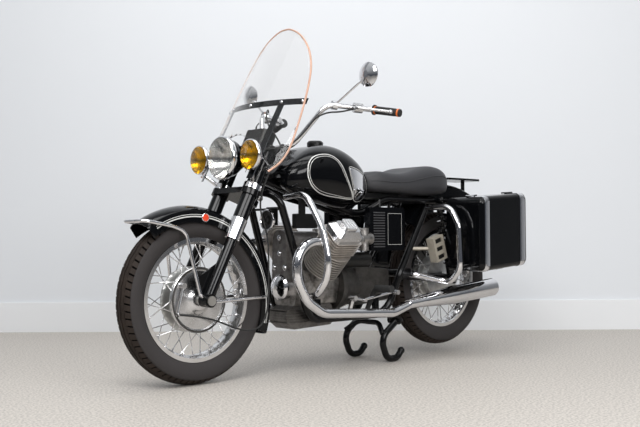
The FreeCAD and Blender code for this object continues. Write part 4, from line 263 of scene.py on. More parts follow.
@dataclass(frozen=True)
class Finish:
    """A finish and the slot of the record that it belongs to."""

    name: str
    slot: str
    colour: Colour
    metallic: float = 0.0
    roughness: float = 0.4
    spread: float = 0.1
    grime_colour: Colour = (0.05, 0.045, 0.04)
    grime: float = 0.2
    scale: float = 18.0
    coat: float = 0.0
    relief: Relief = Relief.NONE
    dust: float = 0.06
    specular: float = 0.5
    coat_roughness: float = 0.02

    def material(self) -> bpy.types.Material:
        """The finish's material, made on first use.

        Returns:
            The material.
        """
        found = bpy.data.materials.get(self.name)
        if found:
            return found
        made = bpy.data.materials.new(self.name)
        made.use_nodes = True
        tree = made.node_tree
        shader = tree.nodes["Principled BSDF"]
        wear = tree.nodes.new("ShaderNodeGroup")
        wear.node_tree = Effects.wear()
        wear.inputs["Base Colour"].default_value = (*self.colour, 1)
        wear.inputs["Grime Colour"].default_value = (*self.grime_colour, 1)
        wear.inputs["Grime"].default_value = self.grime
        wear.inputs["Scale"].default_value = self.scale
        wear.inputs["Roughness"].default_value = self.roughness - self.spread / 2
        wear.inputs["Spread"].default_value = self.spread
        dust = tree.nodes.new("ShaderNodeGroup")
        dust.node_tree = Effects.dust()
        dust.inputs["Amount"].default_value = self.dust
        tree.links.new(wear.outputs["Colour"], dust.inputs["Base Colour"])
        tree.links.new(dust.outputs["Colour"], shader.inputs["Base Color"])
        tree.links.new(wear.outputs["Roughness"], shader.inputs["Roughness"])
        shader.inputs["Metallic"].default_value = self.metallic
        shader.inputs["Coat Weight"].default_value = self.coat
        shader.inputs["Coat Roughness"].default_value = self.coat_roughness
        shader.inputs["Specular IOR Level"].default_value = self.specular
        scale, cells, noise, depth = self.relief.value
        if depth:
            grain = tree.nodes.new("ShaderNodeGroup")
            grain.node_tree = Effects.grain()
            grain.inputs["Scale"].default_value = scale
            grain.inputs["Cells"].default_value = cells
            grain.inputs["Noise"].default_value = noise
            bump = tree.nodes.new("ShaderNodeBump")
            bump.inputs["Distance"].default_value = depth
            tree.links.new(grain.outputs["Height"], bump.inputs["Height"])
            tree.links.new(bump.outputs["Normal"], shader.inputs["Normal"])
        self.dress(tree, shader)
        return made

    def dress(self, tree: bpy.types.NodeTree, shader: bpy.types.Node) -> None:
        """Further nodes of a special finish; plain ones have none.

        Args:
            tree: The material's tree.
            shader: Its shader.
        """


def pass_light(tree: bpy.types.NodeTree, shader: bpy.types.Node, share: float = 0.9) -> None:
    """Let the lamps' light through a glassy material.

    Args:
        tree: The material's tree.
        shader: Its shader.
        share: How much of the light comes through.
    """
    path = tree.nodes.new("ShaderNodeLightPath")
    fade = maths(tree, "MULTIPLY_ADD")
    fade.inputs[1].default_value = -share
    fade.inputs[2].default_value = 1.0
    tree.links.new(path.outputs["Is Shadow Ray"], fade.inputs[0])
    tree.links.new(fade.outputs[0], shader.inputs["Alpha"])


@dataclass(frozen=True)
class Lens(Finish):
    """Clear or coloured glass, fluted when the flutes have a pitch in metres.

    A flute's depth is a share of its pitch, and unit_band is the width in metres of one band of the
    wave texture at a scale of 1.
    """

    pitch: float = 0.0
    clear: float = 1.0
    ior: float = 1.45
    unit_band: float = 0.314
    flute_share: float = 0.25

    def dress(self, tree: bpy.types.NodeTree, shader: bpy.types.Node) -> None:
        """Make the shader transparent and press the flutes.

        Args:
            tree: The material's tree.
            shader: Its shader.
        """
        shader.inputs["Transmission Weight"].default_value = self.clear
        shader.inputs["IOR"].default_value = self.ior
        pass_light(tree, shader)
        if self.pitch:
            place = tree.nodes.new("ShaderNodeTexCoord")
            wave = tree.nodes.new("ShaderNodeTexWave")
            wave.bands_direction = "Y"
            wave.inputs["Scale"].default_value = self.unit_band / self.pitch
            bump = tree.nodes.new("ShaderNodeBump")
            bump.inputs["Distance"].default_value = self.pitch * self.flute_share
            tree.links.new(place.outputs["Object"], wave.inputs["Vector"])
            tree.links.new(wave.outputs["Fac"], bump.inputs["Height"])
            tree.links.new(bump.outputs["Normal"], shader.inputs["Normal"])


@dataclass(frozen=True)
class ClearSheet(Finish):
    """Thin clear plastic that lets the lamps' light through to what is behind it."""

    def dress(self, tree: bpy.types.NodeTree, shader: bpy.types.Node) -> None:
        """Make the shader glassy and drop its shadow.

        Args:
            tree: The material's tree.
            shader: Its shader.
        """
        shader.inputs["Transmission Weight"].default_value = 1.0
        shader.inputs["IOR"].default_value = 1.25
        pass_light(tree, shader)


PAINT = Finish("black_enamel", "black_paint", (0.0022, 0.0024, 0.003), roughness=0.1, spread=0.04, grime=0.0,
               coat=0.16, relief=Relief.PEEL, dust=0.001, specular=0.2)
FRAME_BLACK = Finish("stove_enamel", "black_frame", (0.0025, 0.0025, 0.003), roughness=0.2, spread=0.1,
                     grime=0.2, grime_colour=(0.008, 0.007, 0.006), coat=0.12, relief=Relief.PEEL,
                     dust=0.004, specular=0.22)
PINSTRIPE = Finish("silver_pinstripe", "black_paint", (0.62, 0.62, 0.60), roughness=0.3, coat=0.8, grime=0.05)
CHROME = Finish("chrome_plate", "chrome", (0.80, 0.80, 0.82), metallic=1.0, roughness=0.07, spread=0.06,
                grime=0.12, grime_colour=(0.45, 0.42, 0.38), relief=Relief.PLATED, dust=0.02)
WHEEL_CHROME = Finish("rim_chrome", "wheel_metal", (0.74, 0.74, 0.75), metallic=1.0, roughness=0.13,
                      spread=0.1, grime=0.25, grime_colour=(0.40, 0.37, 0.33), relief=Relief.PLATED,
                      dust=0.04)
SPOKE_STEEL = Finish("spoke_steel", "wheel_metal", (0.66, 0.66, 0.67), metallic=1.0, roughness=0.24,
                     grime=0.3, grime_colour=(0.33, 0.30, 0.27))
POLISHED = Finish("polished_alloy", "polished_aluminium", (0.64, 0.64, 0.65), metallic=1.0, roughness=0.25,
                  spread=0.14, grime=0.35, grime_colour=(0.36, 0.34, 0.31), relief=Relief.PLATED)
CAST = Finish("cast_alloy", "cast_aluminium", (0.40, 0.385, 0.37), metallic=0.95, roughness=0.36, spread=0.2,
              grime=0.85, grime_colour=(0.035, 0.030, 0.026), scale=30.0, relief=Relief.CAST, dust=0.03)
FIN_ALLOY = Finish("fin_alloy", "cast_aluminium", (0.66, 0.62, 0.58), metallic=0.85, roughness=0.38,
                   spread=0.2, grime=0.35, grime_colour=(0.22, 0.19, 0.16), scale=40.0,
                   relief=Relief.FINE_CAST, dust=0.05)
SUMP_ALLOY = Finish("sump_alloy", "dark_casting", (0.20, 0.19, 0.18), metallic=0.8, roughness=0.36,
                    spread=0.2, grime=0.6, grime_colour=(0.03, 0.026, 0.022), scale=30.0,
                    relief=Relief.CAST, dust=0.03)
BRIGHT_CAST = Finish("bright_casting", "cast_aluminium", (0.60, 0.60, 0.59), metallic=1.0, roughness=0.33,
                     spread=0.2, grime=0.45, grime_colour=(0.22, 0.205, 0.19), scale=30.0,
                     relief=Relief.FINE_CAST, dust=0.08)
# Dark casting for the oily gearbox, also used as painted shade for the ring at the brake plate's edge.
DARK_CAST = Finish("oil_and_shade_casting", "dark_casting", (0.085, 0.08, 0.075), metallic=0.7, roughness=0.42,
                   spread=0.2, grime=0.6, grime_colour=(0.018, 0.016, 0.014), scale=30.0,
                   relief=Relief.CAST, dust=0.05)
TYRE = Finish("tyre_rubber", "tyre_rubber", (0.006, 0.0045, 0.004), roughness=0.5, spread=0.2, grime=0.5,
              grime_colour=(0.014, 0.0095, 0.0075), relief=Relief.RUBBER, dust=0.004, specular=0.05)
TREAD = Finish("tread_rubber", "tyre_rubber", (0.026, 0.020, 0.017), roughness=0.6, spread=0.2, grime=0.5,
               grime_colour=(0.05, 0.037, 0.03), relief=Relief.RUBBER, dust=0.02, specular=0.12)
# Near-black rubber for the floor of the tread grooves: painted shade, darker than the tyre's own rubber.
GROOVE_SHADE = Finish("groove_shade_rubber", "tyre_rubber", (0.0015, 0.0012, 0.001), roughness=0.8, grime=0.1, dust=0.0,
                specular=0.05)
GRIP = Finish("grip_rubber", "grip_rubber", (0.008, 0.008, 0.008), roughness=0.55, relief=Relief.RUBBER,
              grime=0.1, dust=0.02, specular=0.3)
VINYL = Finish("seat_vinyl", "seat_vinyl", (0.010, 0.008, 0.0125), roughness=0.27, spread=0.16, grime=0.3,
               grime_colour=(0.022, 0.018, 0.024), relief=Relief.LEATHER, dust=0.003, specular=0.42)
PLASTIC = Finish("moulded_black", "black_plastic", (0.006, 0.006, 0.006), roughness=0.35, relief=Relief.PEEL,
                 grime=0.1, dust=0.01, specular=0.3)
# Satin dark grey for the louvres' outer faces: its lighter colour is a painted highlight on the black paint.
LOUVRE_HIGHLIGHT = Finish("louvre_highlight_black", "black_plastic", (0.045, 0.045, 0.048), roughness=0.3, relief=Relief.PEEL,
               grime=0.2, dust=0.02, specular=0.4)
CRACKLE = Finish("crackle_casting", "cast_aluminium", (0.19, 0.18, 0.175), metallic=0.6, roughness=0.38,
                 spread=0.2, grime=0.7, grime_colour=(0.035, 0.031, 0.028), scale=40.0,
                 relief=Relief.CAST, dust=0.02)
GREY_BOX = Finish("dull_grey_paint", "grey_box", (0.46, 0.42, 0.35), roughness=0.5, grime=0.5,
                  grime_colour=(0.14, 0.12, 0.10), relief=Relief.PEEL, metallic=0.4)
STEEL = Finish("plated_steel", "steel", (0.58, 0.57, 0.55), metallic=1.0, roughness=0.3, grime=0.4,
               grime_colour=(0.28, 0.25, 0.21))
REFLECTOR = Finish("lamp_reflector", "lamp_glass", (0.88, 0.88, 0.87), metallic=1.0, roughness=0.1, grime=0.0)
LENS = Lens("fluted_lens", "lamp_glass", (1.0, 1.0, 0.99), roughness=0.03, spread=0.0, grime=0.0, pitch=0.006,
            ior=1.2, dust=0.0)
AMBER = Lens("amber_lens", "lamp_glass", (1.0, 0.70, 0.035), roughness=0.08, spread=0.0, grime=0.0,
             pitch=0.005, ior=1.25, dust=0.0)
RED = Lens("red_lens", "red_lens", (0.50, 0.02, 0.012), roughness=0.12, spread=0.02, grime=0.0, pitch=0.003,
           clear=0.25, dust=0.0)
REFLEX = Finish("red_reflector", "red_lens", (0.72, 0.055, 0.015), roughness=0.15, grime=0.05, coat=0.6,
                dust=0.0)
ORANGE = Finish("orange_plastic", "red_lens", (0.70, 0.16, 0.03), roughness=0.35, grime=0.1)
SCREEN = ClearSheet("screen_sheet", "clear_screen", (0.985, 0.975, 0.965), roughness=0.02, spread=0.01,
                    grime=0.0, dust=0.0)
EDGE_TRIM = Finish("tan_trim", "clear_screen", (0.55, 0.33, 0.24), roughness=0.35, grime=0.2,
                   grime_colour=(0.30, 0.18, 0.13))
GASKET = Finish("brown_gasket", "black_plastic", (0.24, 0.085, 0.03), roughness=0.6, grime=0.3)
INK = Finish("dial_print", "black_plastic", (0.75, 0.75, 0.72), roughness=0.5)


# Mesh tools

def link(piece: bpy.types.Object) -> bpy.types.Object:
    """Put an object into the scene."""
    bpy.context.scene.collection.objects.link(piece)
    return piece


def build(name: str, points: Sequence[Vector], faces: Sequence[Sequence[int]], smooth_deg: float = 40.0
          ) -> bpy.types.Object:
    """Object from scene points and faces, smooth where its faces meet at less than an angle.

    Args:
        name: The piece's name.
        points: Its corners in metres.
        faces: Its faces, as rows of corner numbers.
        smooth_deg: Faces that meet at less than this angle are shaded as one.

    Returns:
        The new object.
    """
    mesh = bpy.data.meshes.new(name)
    mesh.from_pydata([tuple(p) for p in points], [], [tuple(f) for f in faces])
    mesh.validate()
    shade(mesh, smooth_deg)
    return link(bpy.data.objects.new(name, mesh))


def shade(mesh: bpy.types.Mesh, smooth_deg: float = 40.0) -> None:
    """Smooth shading with sharp edges past an angle."""
    mesh.polygons.foreach_set("use_smooth", [True] * len(mesh.polygons))
    mesh.set_sharp_from_angle(angle=math.radians(smooth_deg))


def outward(mesh: bpy.types.Mesh) -> None:
    """Merge doubled corners and turn every face outwards.

    Args:
        mesh: The mesh to mend.
    """
    work = bmesh.new()
    work.from_mesh(mesh)
    bmesh.ops.remove_doubles(work, verts=work.verts, dist=0.00002)
    bmesh.ops.recalc_face_normals(work, faces=work.faces)
    work.to_mesh(mesh)
    work.free()


def frame_of(axis: Vector) -> tuple[Vector, Vector, Vector]:
    """Three unit directions, the first along an axis and the second level wherever it can be.

    Args:
        axis: The axis.

    Returns:
        Directions along the axis, sideways and up.
    """
    along = axis.normalized()
    hint = X if abs(along.dot(Z)) > 0.98 else Z
    side = hint.cross(along).normalized()
    return along, side, along.cross(side)


def lathe(name: str, profile: Sequence[tuple[float, float]], centre: Vector, axis: Vector, count: int = 64,
          closed: bool = False, smooth_deg: float = 32.0) -> bpy.types.Object:
    """Turned piece.

    Args:
        name: The piece's name.
        profile: Pairs of distance along the axis and radius, in millimetres.
        centre: Where the axis starts, in scene metres.
        axis: The axis.
        count: Faces round it.
        closed: Whether the profile is a loop with a wall.
        smooth_deg: Faces that meet at less than this angle are shaded as one.

    Returns:
        The new object.
    """
    along, side, up = frame_of(axis)
    points = []
    for a, r in profile:
        for i in range(count):
            t = math.tau * i / count
            points.append(centre + (along * a + (side * math.cos(t) + up * math.sin(t)) * r) * MM)
    rows = len(profile)
    faces = []
    for j in range(rows if closed else rows - 1):
        for i in range(count):
            k = (i + 1) % count
            n = (j + 1) % rows
            faces.append((j * count + i, j * count + k, n * count + k, n * count + i))
    piece = build(name, points, faces)
    outward(piece.data)
    shade(piece.data, smooth_deg)
    return piece


def loft(name: str, rings: Sequence[Sequence[Vector]], caps: bool = True, smooth_deg: float = 40.0
         ) -> bpy.types.Object:
    """Skin through closed rings of scene points.

    Args:
        name: The piece's name.
        rings: Rings of as many points each.
        caps: Whether both ends are closed.
        smooth_deg: Faces that meet at less than this angle are shaded as one.

    Returns:
        The new object.
    """
    count = len(rings[0])
    points = [p for ring in rings for p in ring]
    faces = []
    for j in range(len(rings) - 1):
        for i in range(count):
            k = (i + 1) % count
            faces.append((j * count + i, j * count + k, (j + 1) * count + k, (j + 1) * count + i))
    if caps:
        faces.append(tuple(range(count)))
        faces.append(tuple(range(len(points) - 1, len(points) - count - 1, -1)))
    piece = build(name, points, faces)
    outward(piece.data)
    shade(piece.data, smooth_deg)
    return piece


def rounded(points: Sequence[Vector], bend: float, closed: bool = False, steps: int = 6) -> list[Vector]:
    """Route in millimetres with each corner rounded as far as bend and its runs allow.

    Args:
        points: The route's corners.
        bend: Radius wanted at each corner.
        closed: Whether the route is a loop.
        steps: Points round each corner.

    Returns:
        The rounded route.
    """
    count = len(points)
    route = []
    for i, here in enumerate(points):
        if not closed and i in (0, count - 1):
            route.append(here)
            continue
        before, after = points[i - 1] - here, points[(i + 1) % count] - here
        reach = 0.46 * min(before.length, after.length)
        before, after = before.normalized(), after.normalized()
        half = (math.pi - before.angle(after)) / 2
        if half < 0.01:
            route.append(here)
            continue
        cut = min(bend * math.tan(half), reach)
        radius = cut / math.tan(half)
        middle = (before + after).normalized()
        centre = here + middle * (radius / math.cos(half))
        start, end = here + before * cut - centre, here + after * cut - centre
        for s in range(steps + 1):
            route.append(centre + start.slerp(end, s / steps) if radius > 0.01 else here)
    return route


def sweep(name: str, route: Sequence[Vector], ring: Sequence[tuple[float, float]], closed: bool = False
          ) -> bpy.types.Object:
    """Section carried along a route, turning as little as it can.

    Args:
        name: The piece's name.
        route: Points in millimetres of the building frame.
        ring: The section's corners, in millimetres across and up.
        closed: Whether the route is a loop.

    Returns:
        The new object.
    """
    route = [p for i, p in enumerate(route) if i == 0 or (p - route[i - 1]).length > 0.01]
    count = len(route)
    tangents = []
    for i in range(count):
        a = route[i - 1] if i or closed else route[i]
        b = route[(i + 1) % count] if i < count - 1 or closed else route[i]
        tangents.append((b - a).normalized())
    _, side, _ = frame_of(tangents[0])
    rings = []
    for i, here in enumerate(route):
        if i:
            turn = tangents[i - 1].rotation_difference(tangents[i])
            side = turn @ side
        lift = tangents[i].cross(side)
        rings.append([at(*(here + side * a + lift * b)) for a, b in ring])
    if closed:
        rings.append(rings[0])
    return loft(name, rings, caps=not closed)


def circle(radius: float, count: int = 12) -> list[tuple[float, float]]:
    """Corners of a round section.

    Args:
        radius: Its radius.
        count: How many corners.

    Returns:
        Pairs across and up.
    """
    turns = [math.tau * i / count for i in range(count)]
    return [(radius * math.cos(turn), radius * math.sin(turn)) for turn in turns]


def slab(name: str, outline: Sequence[Vector], thickness: Vector, round_mm: float = 0.0, steps: int = 5
         ) -> bpy.types.Object:
    """Flat plate with rounded corners.

    Args:
        name: The piece's name.
        outline: The plate's corners in millimetres.
        thickness: Way and reach of its thickness.
        round_mm: Radius of its corners.
        steps: Points round each corner.

    Returns:
        The new object.
    """
    ring = rounded(outline, round_mm, closed=True, steps=steps) if round_mm else list(outline)
    return loft(name, [[at(*p) for p in ring], [at(*(p + thickness)) for p in ring]])


def join(name: str, pieces: Sequence[bpy.types.Object]) -> bpy.types.Object:
    """One object of several, with their materials kept.

    Args:
        name: The new piece's name.
        pieces: The pieces. They are used up.

    Returns:
        The joined object.
    """
    mesh = bpy.data.meshes.new(name)
    work = bmesh.new()
    finishes: list[bpy.types.Material] = []
    for piece in pieces:
        slots = [m for m in piece.data.materials]
        start = len(work.faces)
        work.from_mesh(piece.data)
        work.faces.ensure_lookup_table()
        for face in work.faces[start:]:
            if slots:
                chosen = slots[min(face.material_index, len(slots) - 1)]
                if chosen not in finishes:
                    finishes.append(chosen)
                face.material_index = finishes.index(chosen)
    work.to_mesh(mesh)
    work.free()
    for chosen in finishes:
        mesh.materials.append(chosen)
    for piece in pieces:
        old = piece.data
        bpy.data.objects.remove(piece)
        bpy.data.meshes.remove(old)
    return link(bpy.data.objects.new(name, mesh))


def bevelled(piece: bpy.types.Object, width: float, segments: int = 2, angle: float = 30.0
             ) -> bpy.types.Object:
    """Round a piece's sharp edges.

    Args:
        piece: The piece.
        width: Width of the rounding.
        segments: Faces across it.
        angle: Edges that turn more than this, in degrees, are rounded.

    Returns:
        The piece.
    """
    bevel = piece.modifiers.new("rounding", "BEVEL")
    bevel.width = width * MM
    bevel.segments = segments
    bevel.limit_method = "ANGLE"
    bevel.angle_limit = math.radians(angle)
    return applied(piece, 50.0)


def evened(piece: bpy.types.Object) -> bpy.types.Object:
    """Keep a piece's flat faces flat in its smooth shading.

    Args:
        piece: The piece.

    Returns:
        The piece.
    """
    weighted = piece.modifiers.new("even_shading", "WEIGHTED_NORMAL")
    weighted.keep_sharp = True
    return applied(piece)


def applied(piece: bpy.types.Object, smooth_deg: float | None = None) -> bpy.types.Object:
    """Turn a piece's modifiers into its plain mesh.

    Args:
        piece: The piece.
        smooth_deg: Faces that meet at less than this angle are shaded as one. Without it the shading
            stays as it is.

    Returns:
        The piece.
    """
    graph = bpy.context.evaluated_depsgraph_get()
    mesh = bpy.data.meshes.new_from_object(piece.evaluated_get(graph), depsgraph=graph)
    piece.modifiers.clear()
    piece.data = mesh
    if smooth_deg is not None:
        shade(mesh, smooth_deg)
    return piece


def dress(piece: bpy.types.Object, finish: Finish, body: str, *nodes: str) -> bpy.types.Object:
    """Give a piece its finish and body, and hide the solids that it replaces.

    Args:
        piece: The piece.
        finish: Its finish, for all faces that have none yet.
        body: The body that it rides on.
        nodes: The solids that it replaces.

    Returns:
        The piece.
    """
    if not piece.data.materials:
        piece.data.materials.append(finish.material())
    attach(piece, body)
    if nodes:
        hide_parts(*nodes)
    LOG.info("%s on %s, %d faces", piece.name, body, len(piece.data.polygons))
    return piece


def paint(piece: bpy.types.Object, finish: Finish) -> bpy.types.Object:
    """Give a loose piece its finish before it is joined.

    Args:
        piece: The piece.
        finish: Its finish.

    Returns:
        The piece.
    """
    piece.data.materials.clear()
    piece.data.materials.append(finish.material())
    return piece


# Patterns

class Pattern:
    """A Geometry Nodes tree that repeats a motif, with named inputs for its sizes."""

    def __init__(self, name: str, sizes: dict[str, str]) -> None:
        """Start the tree.

        Args:
            name: The tree's name.
            sizes: Each input's name and socket type.
        """
        self.tree = bpy.data.node_groups.new(name, "GeometryNodeTree")
        make = self.tree.interface.new_socket
        make(name="Motif", in_out="INPUT", socket_type="NodeSocketGeometry")
        for title, kind in {**sizes, "Material": "NodeSocketMaterial"}.items():
            make(name=title, in_out="INPUT", socket_type=kind)
        make(name="Pattern", in_out="OUTPUT", socket_type="NodeSocketGeometry")
        self.start = self.node("NodeGroupInput")
        self.end = self.node("NodeGroupOutput")

    def node(self, kind: str) -> bpy.types.Node:
        """New node of a kind."""
        return self.tree.nodes.new(kind)

    def link(self, output: bpy.types.NodeSocket, entry: bpy.types.NodeSocket) -> None:
        """Join two sockets."""
        self.tree.links.new(output, entry)

    def close(self, instances: bpy.types.NodeSocket) -> None:
        """End the tree in real geometry with its material.

        Args:
            instances: Socket that gives the instances.
        """
        real = self.node("GeometryNodeRealizeInstances")
        finish = self.node("GeometryNodeSetMaterial")
        self.link(instances, real.inputs[0])
        self.link(real.outputs[0], finish.inputs["Geometry"])
        self.link(self.start.outputs["Material"], finish.inputs["Material"])
        self.link(finish.outputs[0], self.end.inputs[0])

    def grow(self, motif: bpy.types.Object, name: str, finish: Finish, **sizes: object) -> bpy.types.Object:
        """Repeat a motif and keep the result as a plain mesh.

        Args:
            motif: The piece to repeat. It is used up.
            name: The new piece's name.
            finish: The pattern's finish.
            sizes: Values of the tree's inputs by name.

        Returns:
            The new piece.
        """
        modifier = motif.modifiers.new("pattern", "NODES")
        modifier.node_group = self.tree
        values = {**sizes, "Material": finish.material()}
        for item in self.tree.interface.items_tree:
            if item.item_type == "SOCKET" and item.in_out == "INPUT" and item.name in values:
                modifier[item.identifier] = values[item.name]
        graph = bpy.context.evaluated_depsgraph_get()
        mesh = bpy.data.meshes.new_from_object(motif.evaluated_get(graph), depsgraph=graph)
        motif.modifiers.clear()
        bpy.data.objects.remove(motif)
        shade(mesh, 40.0)
        return link(bpy.data.objects.new(name, mesh))


class RingPattern(Pattern):
    """Motif repeated round an axis."""

    def __init__(self) -> None:
        """Build the tree."""
        super().__init__("ring_pattern", {"Count": "NodeSocketInt", "Centre": "NodeSocketVector",
                                          "Axis": "NodeSocketVector", "Turn": "NodeSocketFloat"})
        points = self.node("GeometryNodePoints")
        index = self.node("GeometryNodeInputIndex")
        angle = maths(self.tree, "MULTIPLY")
        turn = self.node("FunctionNodeAxisAngleToRotation")
        away = self.node("ShaderNodeVectorMath")
        away.operation = "SCALE"
        away.inputs["Scale"].default_value = -1.0
        move = self.node("GeometryNodeTransform")
        place = self.node("GeometryNodeInstanceOnPoints")
        sizes = self.start.outputs
        self.link(sizes["Count"], points.inputs["Count"])
        self.link(sizes["Centre"], points.inputs["Position"])
        self.link(index.outputs[0], angle.inputs[0])
        self.link(sizes["Turn"], angle.inputs[1])
        self.link(sizes["Axis"], turn.inputs["Axis"])
        self.link(angle.outputs[0], turn.inputs["Angle"])
        self.link(sizes["Centre"], away.inputs[0])
        self.link(sizes["Motif"], move.inputs["Geometry"])
        self.link(away.outputs[0], move.inputs["Translation"])
        self.link(points.outputs[0], place.inputs["Points"])
        self.link(move.outputs[0], place.inputs["Instance"])
        self.link(turn.outputs[0], place.inputs["Rotation"])
        self.close(place.outputs[0])


class RowPattern(Pattern):
    """Motif repeated along a step."""

    def __init__(self) -> None:
        """Build the tree."""
        super().__init__("row_pattern", {"Count": "NodeSocketInt", "Step": "NodeSocketVector"})
        index = self.node("GeometryNodeInputIndex")
        reach = self.node("ShaderNodeVectorMath")
        reach.operation = "SCALE"
        points = self.node("GeometryNodePoints")
        place = self.node("GeometryNodeInstanceOnPoints")
        sizes = self.start.outputs
        self.link(sizes["Step"], reach.inputs[0])
        self.link(index.outputs[0], reach.inputs["Scale"])
        self.link(sizes["Count"], points.inputs["Count"])
        self.link(reach.outputs[0], points.inputs["Position"])
        self.link(points.outputs[0], place.inputs["Points"])
        self.link(sizes["Motif"], place.inputs["Instance"])
        self.close(place.outputs[0])


@dataclass
class Shop:
    """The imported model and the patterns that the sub-assemblies share."""

    frame: dict
    ring: RingPattern = field(default_factory=RingPattern)
    row: RowPattern = field(default_factory=RowPattern)
    used: set[str] = field(default_factory=set)

    def body(self, node: str) -> str:
        """Body of a solid."""
        return self.frame["nodes"][node]["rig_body"]

    def skin(self, node: str, finish: Finish, zones: Sequence[tuple[Test, Finish]] = (), edge: float = 0.0,
             smooth_deg: float = 32.0, keep: Test | None = None) -> bpy.types.Object:
        """Smooth copy of a solid that stands for it.

        Args:
            node: The solid.
            finish: Finish of the copy.
            zones: Tests of a face's centre and normal, in millimetres, with the finish where each holds.
            edge: Rounding of its sharp edges in millimetres.
            smooth_deg: Faces that meet at less than this angle are shaded as one.
            keep: Test of the faces that the copy keeps; all of them without one.

        Returns:
            The copy.
        """
        mesh = self.frame["nodes"][node].data.copy()
        mesh.materials.clear()
        work = bmesh.new()
        work.from_mesh(mesh)
        bmesh.ops.remove_doubles(work, verts=work.verts, dist=0.00001)
        bmesh.ops.dissolve_degenerate(work, edges=work.edges, dist=0.00001)
        if keep:
            spare = [f for f in work.faces if not keep(back(f.calc_center_median()), f.normal)]
            bmesh.ops.delete(work, geom=spare, context="FACES")
        for face in work.faces:
            face.material_index = 0
            for number, (test, _) in enumerate(zones, 1):
                if test(back(face.calc_center_median()), face.normal):
                    face.material_index = number
                    break
        work.to_mesh(mesh)
        work.free()
        for chosen in (finish, *(f for _, f in zones)):
            mesh.materials.append(chosen.material())
        shade(mesh, smooth_deg)
        piece = link(bpy.data.objects.new(node + "_skin", mesh))
        if edge:
            bevelled(piece, edge)
        evened(piece)
        self.used.add(node)
        return dress(piece, finish, self.body(node), node)


# Studio

@dataclass(frozen=True)
class SoftLamp:
    """Soft lamp: its name, its place and width in metres, and its power in watts."""

    name: str
    place: tuple[float, float, float]
    width: float
    power: float
    height_share: float = 0.7

    def light(self, aim: Vector) -> None:
        """Hang the lamp and aim it.

        Args:
            aim: The point that it looks at, in scene metres.
        """
        data = bpy.data.lights.new(self.name, "AREA")
        data.shape = "RECTANGLE"
        data.size, data.size_y = self.width, self.width * self.height_share
        data.energy = self.power
        lamp = link(bpy.data.objects.new(self.name, data))
        lamp.location = Vector(self.place)
        lamp.rotation_mode = "QUATERNION"
        lamp.rotation_quaternion = (aim - lamp.location).to_track_quat("-Z", "Y")


